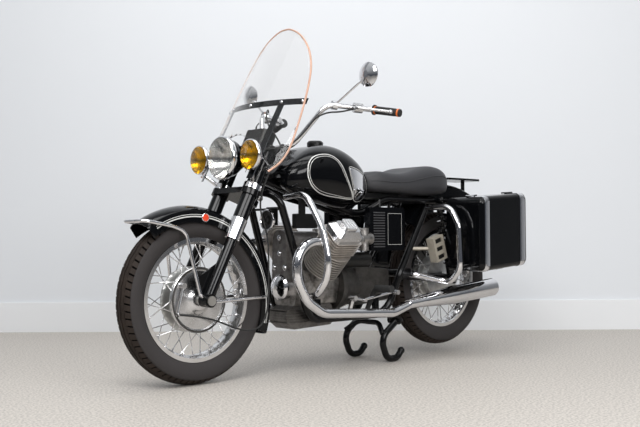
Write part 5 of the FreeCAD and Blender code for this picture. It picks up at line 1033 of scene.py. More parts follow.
@dataclass(frozen=True)
class Studio:
    """Camera, floor, wall and lamps. The eye is in millimetres, the rest in metres."""

    eye: tuple[float, float, float] = (3486.0, 2920.0, 571.0)
    yaw_deg: float = -132.67
    pitch_deg: float = 1.46
    roll_deg: float = -0.29
    lens_mm: float = 50.625
    sensor_mm: float = 36.0
    sight: float = 60.0
    reach: float = 14.0
    wall_far: float = 1.42
    wall_high: float = 9.0
    board_high: float = 0.18
    board_deep: float = 0.012
    speckle_scale: float = 110.0
    floor_speckle: float = 0.34
    speckle_band: tuple[float, float] = (0.40, 0.56)
    matt: float = 0.6
    floor_colour: Colour = (0.56, 0.52, 0.475)
    wall_colour: Colour = (0.735, 0.755, 0.785)
    board_colour: Colour = (0.80, 0.81, 0.825)
    low_sky: Colour = (0.13, 0.14, 0.16)
    high_sky: Colour = (0.95, 0.98, 1.0)
    sky_band: tuple[float, float] = (0.05, 0.75)
    sky_strength: float = 0.6
    aim: tuple[float, float, float] = (0.0, 0.0, 0.6)
    lamps: tuple[SoftLamp, ...] = (SoftLamp("key", (2.8, 1.6, 3.2), 2.4, 98.0),
                                   SoftLamp("fill", (0.9, 4.4, 2.2), 2.4, 100.0),
                                   SoftLamp("top", (0.5, 0.5, 4.4), 3.0, 56.0))

    def camera(self) -> None:
        """Place the camera where the photograph was taken."""
        yaw, pitch, roll = (math.radians(a) for a in (self.yaw_deg, self.pitch_deg, self.roll_deg))
        ahead = Vector((math.cos(pitch) * math.cos(yaw), math.cos(pitch) * math.sin(yaw), math.sin(pitch)))
        right = Vector((math.sin(yaw), -math.cos(yaw), 0.0))
        up = right.cross(ahead)
        right, up = right * math.cos(roll) + up * math.sin(roll), up * math.cos(roll) - right * math.sin(roll)
        data = bpy.data.cameras.new("camera")
        data.lens = self.lens_mm
        data.sensor_width = self.sensor_mm
        data.clip_end = self.sight
        camera = link(bpy.data.objects.new("camera", data))
        turn = Matrix((right, up, -ahead)).transposed()
        camera.matrix_world = Matrix.Translation(at(*self.eye)) @ turn.to_4x4()
        bpy.context.scene.camera = camera

    @staticmethod
    def ramp(tree: bpy.types.NodeTree, band: tuple[float, float], low: Colour, high: Colour
             ) -> bpy.types.Node:
        """Colour ramp between two colours.

        Args:
            tree: The tree that it goes into.
            band: Where the low colour ends and the high one starts.
            low: The low colour.
            high: The high colour.

        Returns:
            The ramp's node.
        """
        ramp = tree.nodes.new("ShaderNodeValToRGB")
        for element, place, colour in zip(ramp.color_ramp.elements, band, (low, high)):
            element.position = place
            element.color = (*colour, 1)
        return ramp

    def surface(self, name: str, colour: Colour, speckle: float) -> bpy.types.Material:
        """Matt surface with faint speckles, clear from behind so that it hides nothing from the far side.

        Args:
            name: The material's name.
            colour: Its colour.
            speckle: How dark the speckles are.

        Returns:
            The material.
        """
        made = bpy.data.materials.new(name)
        made.use_nodes = True
        tree = made.node_tree
        shader = tree.nodes["Principled BSDF"]
        place = tree.nodes.new("ShaderNodeTexCoord")
        noise = tree.nodes.new("ShaderNodeTexNoise")
        noise.inputs["Scale"].default_value = self.speckle_scale
        noise.inputs["Detail"].default_value = 8.0
        ramp = self.ramp(tree, self.speckle_band, tuple(c * (1 - speckle) for c in colour), colour)
        tree.links.new(place.outputs["Object"], noise.inputs["Vector"])
        tree.links.new(noise.outputs["Fac"], ramp.inputs["Fac"])
        tree.links.new(ramp.outputs["Color"], shader.inputs["Base Color"])
        shader.inputs["Roughness"].default_value = self.matt
        shape = tree.nodes.new("ShaderNodeNewGeometry")
        front = maths(tree, "SUBTRACT")
        front.inputs[0].default_value = 1.0
        tree.links.new(shape.outputs["Backfacing"], front.inputs[1])
        tree.links.new(front.outputs[0], shader.inputs["Alpha"])
        return made

    def room(self) -> None:
        """Floor and back wall."""
        yaw = math.radians(self.yaw_deg)
        ahead = Vector((math.cos(yaw), math.sin(yaw), 0.0))
        side = Vector((-ahead.y, ahead.x, 0.0)) * self.reach
        near, far = -ahead * self.reach, ahead * self.wall_far
        step = far - ahead * self.board_deep
        rise, board_rise = Z * self.wall_high, Z * self.board_high
        floor = build("floor", [near - side, near + side, far + side, far - side], [(3, 2, 1, 0)])
        wall = build("wall", [far - side, far + side, far + side + rise, far - side + rise], [(3, 2, 1, 0)])
        corners = [step - side, step + side, step + side + board_rise, step - side + board_rise,
                   far + side + board_rise, far - side + board_rise]
        board = build("skirting", corners, [(3, 2, 1, 0), (5, 4, 2, 3)])
        floor.data.materials.append(self.surface("floor_surface", self.floor_colour, self.floor_speckle))
        wall.data.materials.append(self.surface("wall_surface", self.wall_colour, 0.0))
        board.data.materials.append(self.surface("skirting_surface", self.board_colour, 0.0))

    def light(self) -> None:
        """Soft lamps and a world that is dark below and bright above."""
        for lamp in self.lamps:
            lamp.light(Vector(self.aim))
        world = bpy.data.worlds.new("studio")
        bpy.context.scene.world = world
        world.use_nodes = True
        tree = world.node_tree
        place = tree.nodes.new("ShaderNodeTexCoord")
        split = tree.nodes.new("ShaderNodeSeparateXYZ")
        ramp = self.ramp(tree, self.sky_band, self.low_sky, self.high_sky)
        tree.links.new(place.outputs["Generated"], split.inputs[0])
        tree.links.new(split.outputs["Z"], ramp.inputs["Fac"])
        tree.links.new(ramp.outputs["Color"], tree.nodes["Background"].inputs["Color"])
        tree.nodes["Background"].inputs["Strength"].default_value = self.sky_strength

    def build(self) -> None:
        """Set the whole studio up."""
        scene = bpy.context.scene
        scene.view_settings.view_transform = "Standard"
        self.camera()
        self.room()
        self.light()


# Things laid on a surface

class Surface:
    """Surface of a skin, which lines and panels are laid on. Its sizes are in millimetres."""

    beside: float = 400.0
    before: float = 2000.0
    line_lift: float = 0.35
    plate_lift: float = 1.2
    plate_foot: float = 0.1
    plate_bevel: float = 0.985

    def __init__(self, piece: bpy.types.Object) -> None:
        """Index the skin's faces.

        Args:
            piece: The skin.
        """
        mesh = piece.data
        self.tree = BVHTree.FromPolygons([v.co for v in mesh.vertices], [p.vertices for p in mesh.polygons])

    def drop(self, x: float, z: float, lift: float, side: int = 1) -> tuple[Vector, Vector] | None:
        """Place just outside the skin beside a point.

        Args:
            x: The point's place along the motorcycle, in millimetres.
            z: Its height.
            lift: How far outside the skin.
            side: 1 for the left side, -1 for the right.

        Returns:
            The place in millimetres and the skin's direction there, or None past the skin's edge.
        """
        hit, normal, _, _ = self.tree.ray_cast(at(x, self.beside * side, z), Vector((0, -side, 0)))
        if hit is None:
            return None
        normal = normal if normal.y * side > 0 else -normal
        return back(hit) + normal * lift, normal

    def ahead(self, y: float, z: float) -> Vector:
        """Place on the skin's front behind a point of the front view.

        Args:
            y: The point's place across the motorcycle.
            z: Its height.

        Returns:
            The place in millimetres.
        """
        hit, _, _, _ = self.tree.ray_cast(at(self.before, y, z), -X)
        return back(hit)

    def stripe(self, name: str, line: Sequence[tuple[float, float]], width: float, finish: Finish,
               side: int = 1, closed: bool = False) -> bpy.types.Object:
        """Painted line along points of the side view.

        Args:
            name: The line's name.
            line: Its points in millimetres.
            width: Its width.
            finish: Its finish.
            side: 1 for the left side, -1 for the right.
            closed: Whether the line is a loop.

        Returns:
            The new object.
        """
        found = [p for p in (self.drop(x, z, self.line_lift, side) for x, z in line) if p]
        count = len(found)
        points, faces = [], []
        for i, (here, normal) in enumerate(found):
            before = found[i - 1][0] if i or closed else here
            after = found[(i + 1) % count][0] if i < count - 1 or closed else here
            across = (after - before).normalized().cross(normal).normalized() * (width / 2)
            points += [at(*(here - across)), at(*(here + across))]
        for i in range(count if closed else count - 1):
            k = (i + 1) % count
            here, ahead = (2 * i, 2 * i + 1), (2 * k + 1, 2 * k)
            faces.append(here + ahead if side > 0 else ahead[::-1] + here[::-1])
        return paint(build(name, points, faces), finish)

    def panel(self, name: str, line: Sequence[tuple[float, float]], finish: Finish, side: int = 1,
              rows: int = 9) -> bpy.types.Object:
        """Thin plate that fills a closed line of the side view.

        Args:
            name: The plate's name.
            line: Its outline in millimetres.
            finish: Its finish.
            side: 1 for the left side, -1 for the right.
            rows: Rings from its edge to its middle.

        Returns:
            The new object.
        """
        mid_x, mid_z = sum(p[0] for p in line) / len(line), sum(p[1] for p in line) / len(line)
        rings = []
        for j in range(rows):
            share = self.plate_bevel if j == 1 else 1 - j / rows
            lift = self.plate_lift if j else self.plate_foot
            rings.append([self.drop(mid_x + (x - mid_x) * share, mid_z + (z - mid_z) * share, lift, side)[0]
                          for x, z in line])
        return paint(loft(name, [[at(*p) for p in ring] for ring in rings]), finish)


def flowing(points: Sequence[tuple[float, ...]], closed: bool = False, steps: int = 8
            ) -> list[tuple[float, ...]]:
    """Smooth line through points.

    Args:
        points: The points.
        closed: Whether the line is a loop.
        steps: Points for each stretch.

    Returns:
        The line's points.
    """
    count = len(points)
    line = []
    for i in range(count if closed else count - 1):
        if closed:
            four = [points[(i + k) % count] for k in (-1, 0, 1, 2)]
        else:
            four = [points[max(0, min(count - 1, i + k))] for k in (-1, 0, 1, 2)]
        for step in range(steps):
            t = step / steps
            weights = (-t + 2 * t * t - t ** 3, 2 - 5 * t * t + 3 * t ** 3, t + 4 * t * t - 3 * t ** 3,
                       -t * t + t ** 3)
            line.append(tuple(sum(w * p[k] for w, p in zip(weights, four)) / 2
                              for k in range(len(points[0]))))
    return line if closed else line + [tuple(points[-1])]


# Wheels

@dataclass
class Wheels:
    """Laced wheels with their nipples, and tyres with cut tread whose grooves are painted near black as
    painted shade.
    """

    shop: Shop
    tyre_r: float = 328.0
    tread_half: float = 46.0
    tread_drop: float = 15.0
    groove: float = 7.0
    shoulder_fall: float = 1.6
    shoulder_share: float = 0.36
    pitches: int = 36
    zig: float = 4.0
    ribs: tuple[tuple[float, float], ...] = ((-6.0, 5.0), (12.0, 24.0), (-25.0, -13.0))
    shoulder_starts: tuple[float, float] = (0.04, 0.54)
    shoulder_y: tuple[float, float, float] = (30.0, 28.0, 49.0)
    shoulder_skew: float = 6.0
    # Radius past which the tyre's tread band is painted near black as painted shade in the grooves.
    groove_shade_r: float = 304.0
    sunk_r: float = 308.0
    wires_r: float = 213.0
    front: tuple[float, float, float] = (1470.0, 0.0, 328.0)
    rear: tuple[float, float, float] = (0.0, 0.0, 363.0)
    drums_r: tuple[float, float] = (128.0, 112.0)
    spokes: int = 10
    spoke_deg: float = 18.0
    rim_r: float = 217.2
    hub_y: float = 31.0
    rim_y: float = 7.0
    lean_deg: float = 17.0
    nipple_r: float = 3.3
    nipple_l: float = 17.0

    def crown(self, y: float) -> float:
        """Radius of the tread at a place across it, which falls off past the shoulder.

        Args:
            y: Place across the tread.

        Returns:
            The radius in millimetres.
        """
        past = max(0.0, abs(y) - self.tread_half)
        return self.tyre_r - self.tread_drop * (y / self.tread_half) ** 2 - past * self.shoulder_fall

    def block(self, axle: Vector, corners: Sequence[tuple[float, float]]) -> bpy.types.Object:
        """One tread block from four corners along and across the tread.

        Args:
            axle: The wheel's middle.
            corners: The block's corners, in millimetres along and across.

        Returns:
            The block.
        """
        rings = []
        for sink in (self.groove + 1.0, 0.5, 0.15):
            pull = 0.0 if sink > 0.2 else 0.5
            mid = sum(c[0] for c in corners) / 4, sum(c[1] for c in corners) / 4
            ring = []
            for t, y in corners:
                t, y = t + (mid[0] - t) * 0.04 * pull, y + (mid[1] - y) * 0.08 * pull
                turn, r = t / self.tyre_r, self.crown(y) - sink
                ring.append(at(axle.x + r * math.sin(turn), y, axle.z + r * math.cos(turn)))
            rings.append(ring)
        return loft("block", rings, smooth_deg=30)

    def tread(self, name: str, axle: Vector) -> bpy.types.Object:
        """All the tread's blocks: zigzag ribs between square shoulders.

        Args:
            name: The piece's name.
            axle: The wheel's middle.

        Returns:
            The tread.
        """
        pitch = math.tau * self.tyre_r / self.pitches
        half, zig = pitch / 2, self.zig
        blocks = []
        for low, high in self.ribs:
            blocks.append(self.block(axle, [(0, low), (half, low + zig), (half, high + zig), (0, high)]))
            blocks.append(self.block(axle, [(half, low + zig), (pitch, low), (pitch, high),
                                            (half, high + zig)]))
        for side in (1, -1):
            first, second, outer = (y * side for y in self.shoulder_y)
            for start in self.shoulder_starts:
                t0, t1 = pitch * start, pitch * (start + self.shoulder_share)
                skew = self.shoulder_skew
                blocks.append(self.block(axle, [(t0, first), (t1, second), (t1 + skew, outer),
                                                (t0 + skew, outer)]))
        return self.shop.ring.grow(join("motif", blocks), name, TREAD, Count=self.pitches,
                                   Centre=at(*axle), Axis=Y, Turn=math.tau / self.pitches)

    def nipples(self, name: str, axle: Vector, drum_r: float) -> bpy.types.Object:
        """Spoke nipples at the rim.

        Args:
            name: The piece's name.
            axle: The wheel's middle.
            drum_r: Radius of the wheel's drum.

        Returns:
            The nipples.
        """
        parts = []
        for side in (1, -1):
            for i in (0, 1):
                turn = math.radians(self.spoke_deg * (i + 0.25 * (1 - side)))
                far = turn + math.radians(self.lean_deg * (1 if i % 2 else -1))
                hub_r = drum_r - 3
                low = axle + Vector((hub_r * math.cos(turn), side * self.hub_y, hub_r * math.sin(turn)))
                top = axle + Vector((self.rim_r * math.cos(far), side * self.rim_y,
                                     self.rim_r * math.sin(far)))
                r, long = self.nipple_r, self.nipple_l
                parts.append(lathe("nipple", [(-3, 0.1), (-3, r * 1.3), (2, r * 1.3), (3, r), (long - 2, r),
                                              (long, r * 0.72), (long, 0.1)], at(*top), low - top, 8))
        return self.shop.ring.grow(join("motif", parts), name, SPOKE_STEEL, Count=self.spokes,
                                   Centre=at(*axle), Axis=Y, Turn=math.tau / self.spokes)

    def build(self) -> None:
        """Dress both wheels."""
        ends = zip(("front", "rear"), (Vector(self.front), Vector(self.rear)), self.drums_r)
        for end, axle, drum_r in ends:
            def out(p: Vector, centre: Vector = axle) -> float:
                """Distance of a point from the axle, in the side view.

                Args:
                    p: The point in millimetres.
                    centre: The axle.

                Returns:
                    The distance in millimetres.
                """
                return math.hypot(p.x - centre.x, p.z - centre.z)
            hub: Test = lambda p, n, r=drum_r: out(p) < r + 4
            wires: Test = lambda p, n, r=drum_r: r + 4 <= out(p) < self.wires_r
            self.shop.skin(f"{end}_wheel", WHEEL_CHROME, zones=((hub, BRIGHT_CAST), (wires, SPOKE_STEEL)))
            # The tread band between the blocks gets the near-black groove finish: painted shade in the
            # grooves.
            band: Test = lambda p, n: out(p) > self.groove_shade_r and abs(p.y) < self.tread_half + 0.5
            tyre = self.shop.skin(f"{end}_tyre", TYRE, zones=((band, GROOVE_SHADE),))
            for v in tyre.data.vertices:
                p = back(v.co)
                r = out(p)
                if abs(p.y) < self.tread_half + 1 and r > self.sunk_r:
                    pull = (r - self.groove) / r
                    v.co = at(axle.x + (p.x - axle.x) * pull, p.y, axle.z + (p.z - axle.z) * pull)
            body = self.shop.body(f"{end}_wheel")
            dress(self.tread(f"{end}_tread", axle), TREAD, body)
            dress(self.nipples(f"{end}_nipples", axle, drum_r), SPOKE_STEEL, body)


# Front end

@dataclass
class Brake:
    """Front brake plate: polished, with a ring at its edge painted dark as painted shade of the gap to the
    drum.
    """

    shop: Shop
    centre: tuple[float, float] = (1470.0, 328.0)
    # Radii of the ring painted dark as painted shade of the gap between plate and drum.
    rim_r: tuple[float, float] = (118.0, 124.0)

    def build(self) -> None:
        """Dress the brake plate."""
        low, high = self.rim_r
        # The ring at the plate's edge gets the dark casting finish: painted shade of the gap to the drum.
        rim: Test = lambda p, n: low < math.hypot(p.x - self.centre[0], p.z - self.centre[1]) < high
        self.shop.skin("front_brake", POLISHED, zones=((rim, DARK_CAST),), edge=0.6)


@dataclass
class Lamps:
    """Head lamp and two driving lamps."""

    shop: Shop
    head: tuple[float, float, float] = (1358.0, 0.0, 888.0)
    head_sizes: tuple[float, float, float] = (89.0, 140.0, 24.0)
    spot: tuple[float, float, float] = (1338.0, 170.0, 891.0)
    spot_sizes: tuple[float, float, float] = (61.0, 68.0, 16.0)

    def inside(self, name: str, place: Vector, sizes: tuple[float, float, float], lens: Finish) -> None:
        """Glass, bowl and bulb of one lamp.

        Args:
            name: The lamp's name.
            place: Middle of its glass, in millimetres.
            sizes: Its radius, depth and rim.
            lens: Finish of its glass.
        """
        radius, depth, lip = sizes
        edge = radius - lip * 0.25
        face = [(0, 0.05), (-lip * 0.1, radius * 0.3), (-lip * 0.3, radius * 0.55),
                (-lip * 0.55, radius * 0.78), (-lip * 0.8, edge)]
        inner = [(a - 3, max(0.05, r - 1)) for a, r in reversed(face)]
        glass = lathe(name + "_glass", face + inner, at(*place), X, 64, closed=True)
        dish = [(-lip * 0.8 - 4 - (depth * 0.5) * (1 - (k / 10) ** 2), max(0.05, edge * k / 10))
                for k in range(11)]
        bowl = lathe(name + "_bowl", dish, at(*place), X, 64)
        pear = [(-depth * 0.55, 0.1), (-depth * 0.55, 6), (-depth * 0.42, 8), (-depth * 0.3, 7),
                (-depth * 0.26, 0.1)]
        bulb = lathe(name + "_bulb", pear, at(*place), X, 20)
        body = self.shop.body("front_lamps")
        dress(glass, lens, body)
        dress(bowl, REFLECTOR, body)
        dress(bulb, STEEL, body)

    def build(self) -> None:
        """Dress the lamps."""
        lamps = [(Vector(self.head), self.head_sizes), (Vector(self.spot), self.spot_sizes),
                 (Vector((self.spot[0], -self.spot[1], self.spot[2])), self.spot_sizes)]

        def off_glass(p: Vector, n: Vector) -> bool:
            """Whether a face is outside all the glasses.

            Args:
                p: The face's centre in millimetres.
                n: Its normal, not used.

            Returns:
                True for a face that the lamps' skin keeps.
            """
            return not any(p.x > c.x - lip * 0.8 and math.hypot(p.y - c.y, p.z - c.z) < r - lip * 0.25
                           for c, (r, _, lip) in lamps)

        def shell(p: Vector, n: Vector) -> bool:
            """Whether a face is on the head lamp's painted shell.

            Args:
                p: The face's centre in millimetres.
                n: Its normal, not used.

            Returns:
                True for a painted face.
            """
            c, (r, _, lip) = lamps[0]
            return p.x < c.x - lip * 1.7 and math.hypot(p.y, p.z - c.z) < r
        self.shop.skin("front_lamps", CHROME, zones=((shell, PAINT),), keep=off_glass)
        self.inside("head_lamp", lamps[0][0], self.head_sizes, LENS)
        self.inside("left_spot", lamps[1][0], self.spot_sizes, AMBER)
        self.inside("right_spot", lamps[2][0], self.spot_sizes, AMBER)


@dataclass
class FrontFender:
    """Front mudguard with double pinstripes and a round reflector on each side."""

    shop: Shop
    centre: tuple[float, float] = (1500.0, 304.0)
    lines: tuple[tuple[float, float], ...] = ((346.0, 4.6), (354.0, 2.2))
    span_deg: tuple[float, float] = (60.0, 194.0)
    reflector: tuple[float, float] = (1457.0, 646.0)
    reflector_r: float = 17.0

    def build(self) -> None:
        """Dress the mudguard."""
        skin = self.shop.skin("front_fender", PAINT, smooth_deg=50)
        surface = Surface(skin)
        body = self.shop.body("front_fender")
        stripes, rims, faces = [], [], []
        for side in (1, -1):
            for radius, width in self.lines:
                start, end = self.span_deg
                angles = [math.radians(start + (end - start) * k / 120) for k in range(121)]
                x, z = self.centre
                line = [(x + radius * math.cos(a), z + radius * math.sin(a)) for a in angles]
                stripes.append(surface.stripe("line", line, width, PINSTRIPE, side))
            found = surface.drop(*self.reflector, 0.0, side)
            if found:
                place, way = found
                r = self.reflector_r
                rim = [(-3, r - 2), (-3, r), (4, r), (6, r - 1.5), (5, r - 3), (0, r - 3)]
                rims.append(lathe("rim", rim, at(*place), way, 40))
                face = [(0, r - 3), (4, r - 3), (5.5, r * 0.5), (6, 0.05)]
                faces.append(lathe("face", face, at(*place), way, 40))
        dress(join("fender_pinstripes", stripes), PINSTRIPE, body)
        dress(join("fender_reflector_rims", [paint(p, CHROME) for p in rims]), CHROME, body)
        dress(join("fender_reflectors", [paint(p, REFLEX) for p in faces]), REFLEX, body)


@dataclass
class Screen:
    """Windscreen with its edge trim, strap, struts and bolts."""

    shop: Shop
    middle: tuple[float, float] = (1190.0, 1095.0)
    slope: float = 0.546
    bow: float = 82.0
    bow_y: float = 250.0
    low_z: float = 824.0
    top_z: float = 1458.0
    half_w: float = 264.0
    strap_z: float = 1112.0
    bolts_y: tuple[float, ...] = (0.0, 158.0, 238.0)
    shares: tuple[tuple[float, float], ...] = ((0.0, 0.85), (0.06, 0.96), (0.16, 1.0), (0.36, 0.965),
                                               (0.55, 0.90), (0.70, 0.81), (0.83, 0.65), (0.93, 0.42),
                                               (0.985, 0.18))
    chrome_low_z: float = 900.0

    def place(self, y: float, z: float, lift: float = 0.0) -> Vector:
        """Point of the sheet's front face.

        Args:
            y: Place across the motorcycle.
            z: Height.
            lift: How far ahead of the face.

        Returns:
            The point in millimetres.
        """
        x = self.middle[0] - self.slope * (z - self.middle[1]) - self.bow * (y / self.bow_y) ** 2
        return Vector((x + lift, y, z))

    def build(self) -> None:
        """Dress the windscreen."""
        self.shop.skin("windscreen", SCREEN, smooth_deg=50)
        body = self.shop.body("windscreen")
        tall = self.top_z - self.low_z
        left = [(w * self.half_w - 2, self.low_z + h * tall) for h, w in self.shares]
        edge = flowing(left + [(0.0, self.top_z - 2)] + [(-y, z) for y, z in reversed(left)], steps=8)
        trim = sweep("screen_trim", [self.place(y, z, -2) for y, z in edge], circle(4.2, 10))
        dress(trim, EDGE_TRIM, body)
        low: Test = lambda p, n: p.z < self.chrome_low_z
        self.shop.skin("screen_struts", PAINT, zones=((low, CHROME),), edge=0.4)
        heads = []
        for y in self.bolts_y:
            for side in ((1, -1) if y else (1,)):
                head = [(-1, 0.1), (-1, 8), (1, 8), (3.5, 6), (5, 0.1)]
                heads.append(lathe("bolt", head, at(*self.place(y * side, self.strap_z, 0.5)), X, 20))
        dress(join("screen_bolts", [paint(p, CHROME) for p in heads]), CHROME, body)


@dataclass
class Cockpit:
    """Grips with ribs and orange bands, mirrors and horn."""

    shop: Shop
    grip_in: tuple[float, float, float] = (754.0, 295.0, 1103.0)
    grip_out: tuple[float, float, float] = (724.0, 410.0, 1081.0)
    grip_r: float = 16.0
    grip_l: float = 122.0
    ribs: int = 15
    mirror: tuple[float, float, float] = (880.0, 386.0, 1226.0)
    mirror_r: float = 50.0
    horn: tuple[float, float, float] = (1130.0, 36.0, 640.0)
    horn_r: float = 45.0
    dial: tuple[float, float, float] = (1124.0, 35.0, 1000.4)
    dial_lean: float = 0.505
    dial_r: float = 30.0
    marks: int = 13

    def grips(self) -> None:
        """Ribs round each grip and the bands at its ends."""
        self.shop.skin("grips", GRIP, edge=0.6)
        body = self.shop.body("grips")
        bands = []
        for side, name in ((1, "left"), (-1, "right")):
            inner, outer = (Vector((p[0], p[1] * side, p[2])) for p in (self.grip_in, self.grip_out))
            way = (outer - inner).normalized()
            start, r = outer - way * (self.grip_l - 18), self.grip_r
            rib = lathe("rib", [(-1.6, r - 0.5), (-1.2, r + 0.9), (1.2, r + 0.9), (1.6, r - 0.5)],
                        at(*start), way, 28, closed=True)
            step = way * ((self.grip_l - 32) / self.ribs * MM)
            dress(self.shop.row.grow(rib, f"{name}_grip_ribs", GRIP, Count=self.ribs, Step=step), GRIP, body)
            for reach in (self.grip_l - 9, 3):
                bands.append(lathe("band", [(-3.5, r - 0.5), (-3, r + 1.3), (3, r + 1.3), (3.5, r - 0.5)],
                                   at(*(outer - way * reach)), way, 36, closed=True))
        dress(join("grip_bands", [paint(p, ORANGE) for p in bands]), ORANGE, body)

    def dials(self) -> None:
        """Two dials with bright bezels on the instrument box."""
        self.shop.skin("instruments", PLASTIC, edge=0.8)
        body = self.shop.body("instruments")
        way = Vector((-self.dial_lean, 0, 1)).normalized()
        bezels, faces, marks = [], [], []
        for side in (1, -1):
            x, y, z = self.dial
            place, r = Vector((x, y * side, z)), self.dial_r
            bezel = [(-2, r - 3), (-2, r), (3, r), (5, r - 1.5), (4, r - 4), (0, r - 4)]
            bezels.append(lathe("bezel", bezel, at(*place), way, 40))
            faces.append(lathe("face", [(0, r - 3), (1.5, r - 3.5), (1.5, 0.1)], at(*place), way, 40))
            _, across, up = frame_of(way)
            for k in range(self.marks):
                turn = math.tau * (k / self.marks * 0.78 + 0.36)
                out = across * math.sin(turn) + up * math.cos(turn)
                line = [place + way * 1.9 + out * (r - 9), place + way * 1.9 + out * (r - 5)]
                marks.append(sweep("mark", line, circle(0.5, 6)))
            needle = across * 0.6 + up * 0.8
            line = [place + way * 2.4 - needle * 4, place + way * 2.4 + needle * (r - 10)]
            marks.append(sweep("needle", line, circle(0.7, 6)))
        dress(join("dial_bezels", [paint(p, CHROME) for p in bezels]), CHROME, body)
        dress(join("dial_faces", [paint(p, PLASTIC) for p in faces]), PLASTIC, body)
        dress(join("dial_marks", [paint(p, INK) for p in marks]), INK, body)

    def build(self) -> None:
        """Dress the cockpit."""
        self.grips()
        self.dials()
        mx, my, mz = self.mirror
        glass: Test = lambda p, n: n.x < -0.9 and math.hypot(abs(p.y) - my, p.z - mz) < self.mirror_r
        self.shop.skin("mirrors", CHROME, zones=((glass, REFLECTOR),), edge=0.5)
        hx, hy, hz = self.horn
        ring: Test = lambda p, n: p.x > hx - 12 and 0.83 < math.hypot(p.y - hy, p.z - hz) / self.horn_r < 1.02
        self.shop.skin("horns", PLASTIC, zones=((ring, CHROME),), edge=0.5)


@dataclass
class BeltCover:
    """Crackle-finished cover on the engine's nose, with its bright dome."""

    shop: Shop
    dome: tuple[float, float] = (0.0, 357.0)
    dome_r: float = 56.0
    front_x: float = 1000.0
    bolts: tuple[tuple[float, float], ...] = ((0.0, 566.0), (0.0, 500.0), (34.0, 440.0), (-34.0, 440.0))
    bolt_r: float = 8.0

    def build(self) -> None:
        """Dress the cover."""
        dome: Test = lambda p, n: (p.x > self.front_x
                                   and math.hypot(p.y - self.dome[0], p.z - self.dome[1]) < self.dome_r)
        cover = Surface(self.shop.skin("timing_cover", CRACKLE, zones=((dome, CHROME),), edge=1.2))
        heads = []
        for y, z in self.bolts:
            place = cover.ahead(y, z)
            r = self.bolt_r
            head = [(-1, 0.1), (-1, r * 1.5), (1, r * 1.5), (1.2, r), (6, r), (7.5, r * 0.7), (7.5, 0.1)]
            heads.append(lathe("bolt", head, at(*place), X, 24))
        dress(join("cover_bolts", [paint(p, CHROME) for p in heads]), CHROME, self.shop.body("timing_cover"))


# Tank and seat

@dataclass
class Tank:
    """Tank with a bordered teardrop and a bright knee panel on each side."""

    shop: Shop
    tear: tuple[tuple[float, float], ...] = ((727, 733), (819, 739), (886, 747), (939, 763), (980, 791),
                                             (996, 829), (988, 871), (956, 903), (907, 918), (862, 917),
                                             (828, 900), (801, 868), (772, 820), (747, 778), (727, 752))
    knee: tuple[tuple[float, float], ...] = ((753, 866), (712, 862), (659, 842), (625, 816), (612, 788),
                                             (618, 760), (642, 738), (678, 729), (709, 738), (721, 766),
                                             (734, 803), (749, 840))
    tear_width: float = 4.8
    inner_gap: float = 9.0
    inner_width: float = 2.2
    knee_gap: float = 6.0
    knee_width: float = 2.6

    def scaled(self, line: Sequence[tuple[float, float]], grow: float) -> list[tuple[float, float]]:
        """Closed line moved outwards by a distance.

        Args:
            line: The line's points.
            grow: The distance, inwards when it is negative.

        Returns:
            The moved line.
        """
        mid_x, mid_z = sum(p[0] for p in line) / len(line), sum(p[1] for p in line) / len(line)
        moved = []
        for x, z in line:
            away = math.hypot(x - mid_x, z - mid_z)
            moved.append((x + (x - mid_x) * grow / away, z + (z - mid_z) * grow / away))
        return moved

    def build(self) -> None:
        """Dress the tank."""
        surface = Surface(self.shop.skin("fuel_tank", PAINT, smooth_deg=60))
        body = self.shop.body("fuel_tank")
        stripes, plates = [], []
        for side in (1, -1):
            tear, knee = flowing(self.tear, closed=True), flowing(self.knee, closed=True)
            for line, width in ((tear, self.tear_width),
                                (self.scaled(tear, -self.inner_gap), self.inner_width),
                                (self.scaled(knee, self.knee_gap), self.knee_width)):
                stripes.append(surface.stripe("line", line, width, PINSTRIPE, side, closed=True))
            plates.append(surface.panel("plate", knee, CHROME, side))
        dress(join("tank_pinstripes", stripes), PINSTRIPE, body)
        dress(join("knee_panels", plates), CHROME, body)


@dataclass
class Seat:
    """Vinyl saddle, softly rounded, with a piped seam round each side."""

    shop: Shop
    seam: tuple[tuple[float, float], ...] = ((566, 822), (520, 822), (440, 818), (350, 824), (260, 842),
                                             (180, 856), (110, 858), (62, 846))
    piping_r: float = 2.4
    cell: float = 5.0
    soft_passes: int = 14
    fill: float = 0.95
    pan: tuple[tuple[float, float], ...] = ((606, 774), (606, 742), (340, 740), (340, 774))
    pan_half: float = 60.0
    pan_thick: float = 6.0

    def build(self) -> None:
        """Make the saddle and its pan."""
        outline = [Vector((x, -self.pan_half, z)) for x, z in self.pan]
        pan = slab("seat_pan", outline, Y * 2 * self.pan_half, self.pan_thick)
        dress(pan, PLASTIC, self.shop.body("seat"))
        saddle = self.shop.skin("seat", VINYL, smooth_deg=60)
        remesh = saddle.modifiers.new("even", "REMESH")
        remesh.mode = "VOXEL"
        remesh.voxel_size = self.cell * MM
        soft = saddle.modifiers.new("soft", "SMOOTH")
        soft.factor, soft.iterations = 0.5, self.soft_passes
        applied(saddle, 80.0)
        saddle.data.materials.clear()
        saddle.data.materials.append(VINYL.material())
        surface = Surface(saddle)
        beads = []
        for side in (1, -1):
            found = [surface.drop(x, z, 0.6, side) for x, z in flowing(self.seam, steps=10)]
            beads.append(sweep("bead", [f[0] for f in found if f], circle(self.piping_r, 8)))
        dress(join("seat_piping", [paint(p, VINYL) for p in beads]), VINYL, self.shop.body("seat"))


# Side boxes, panniers and tail

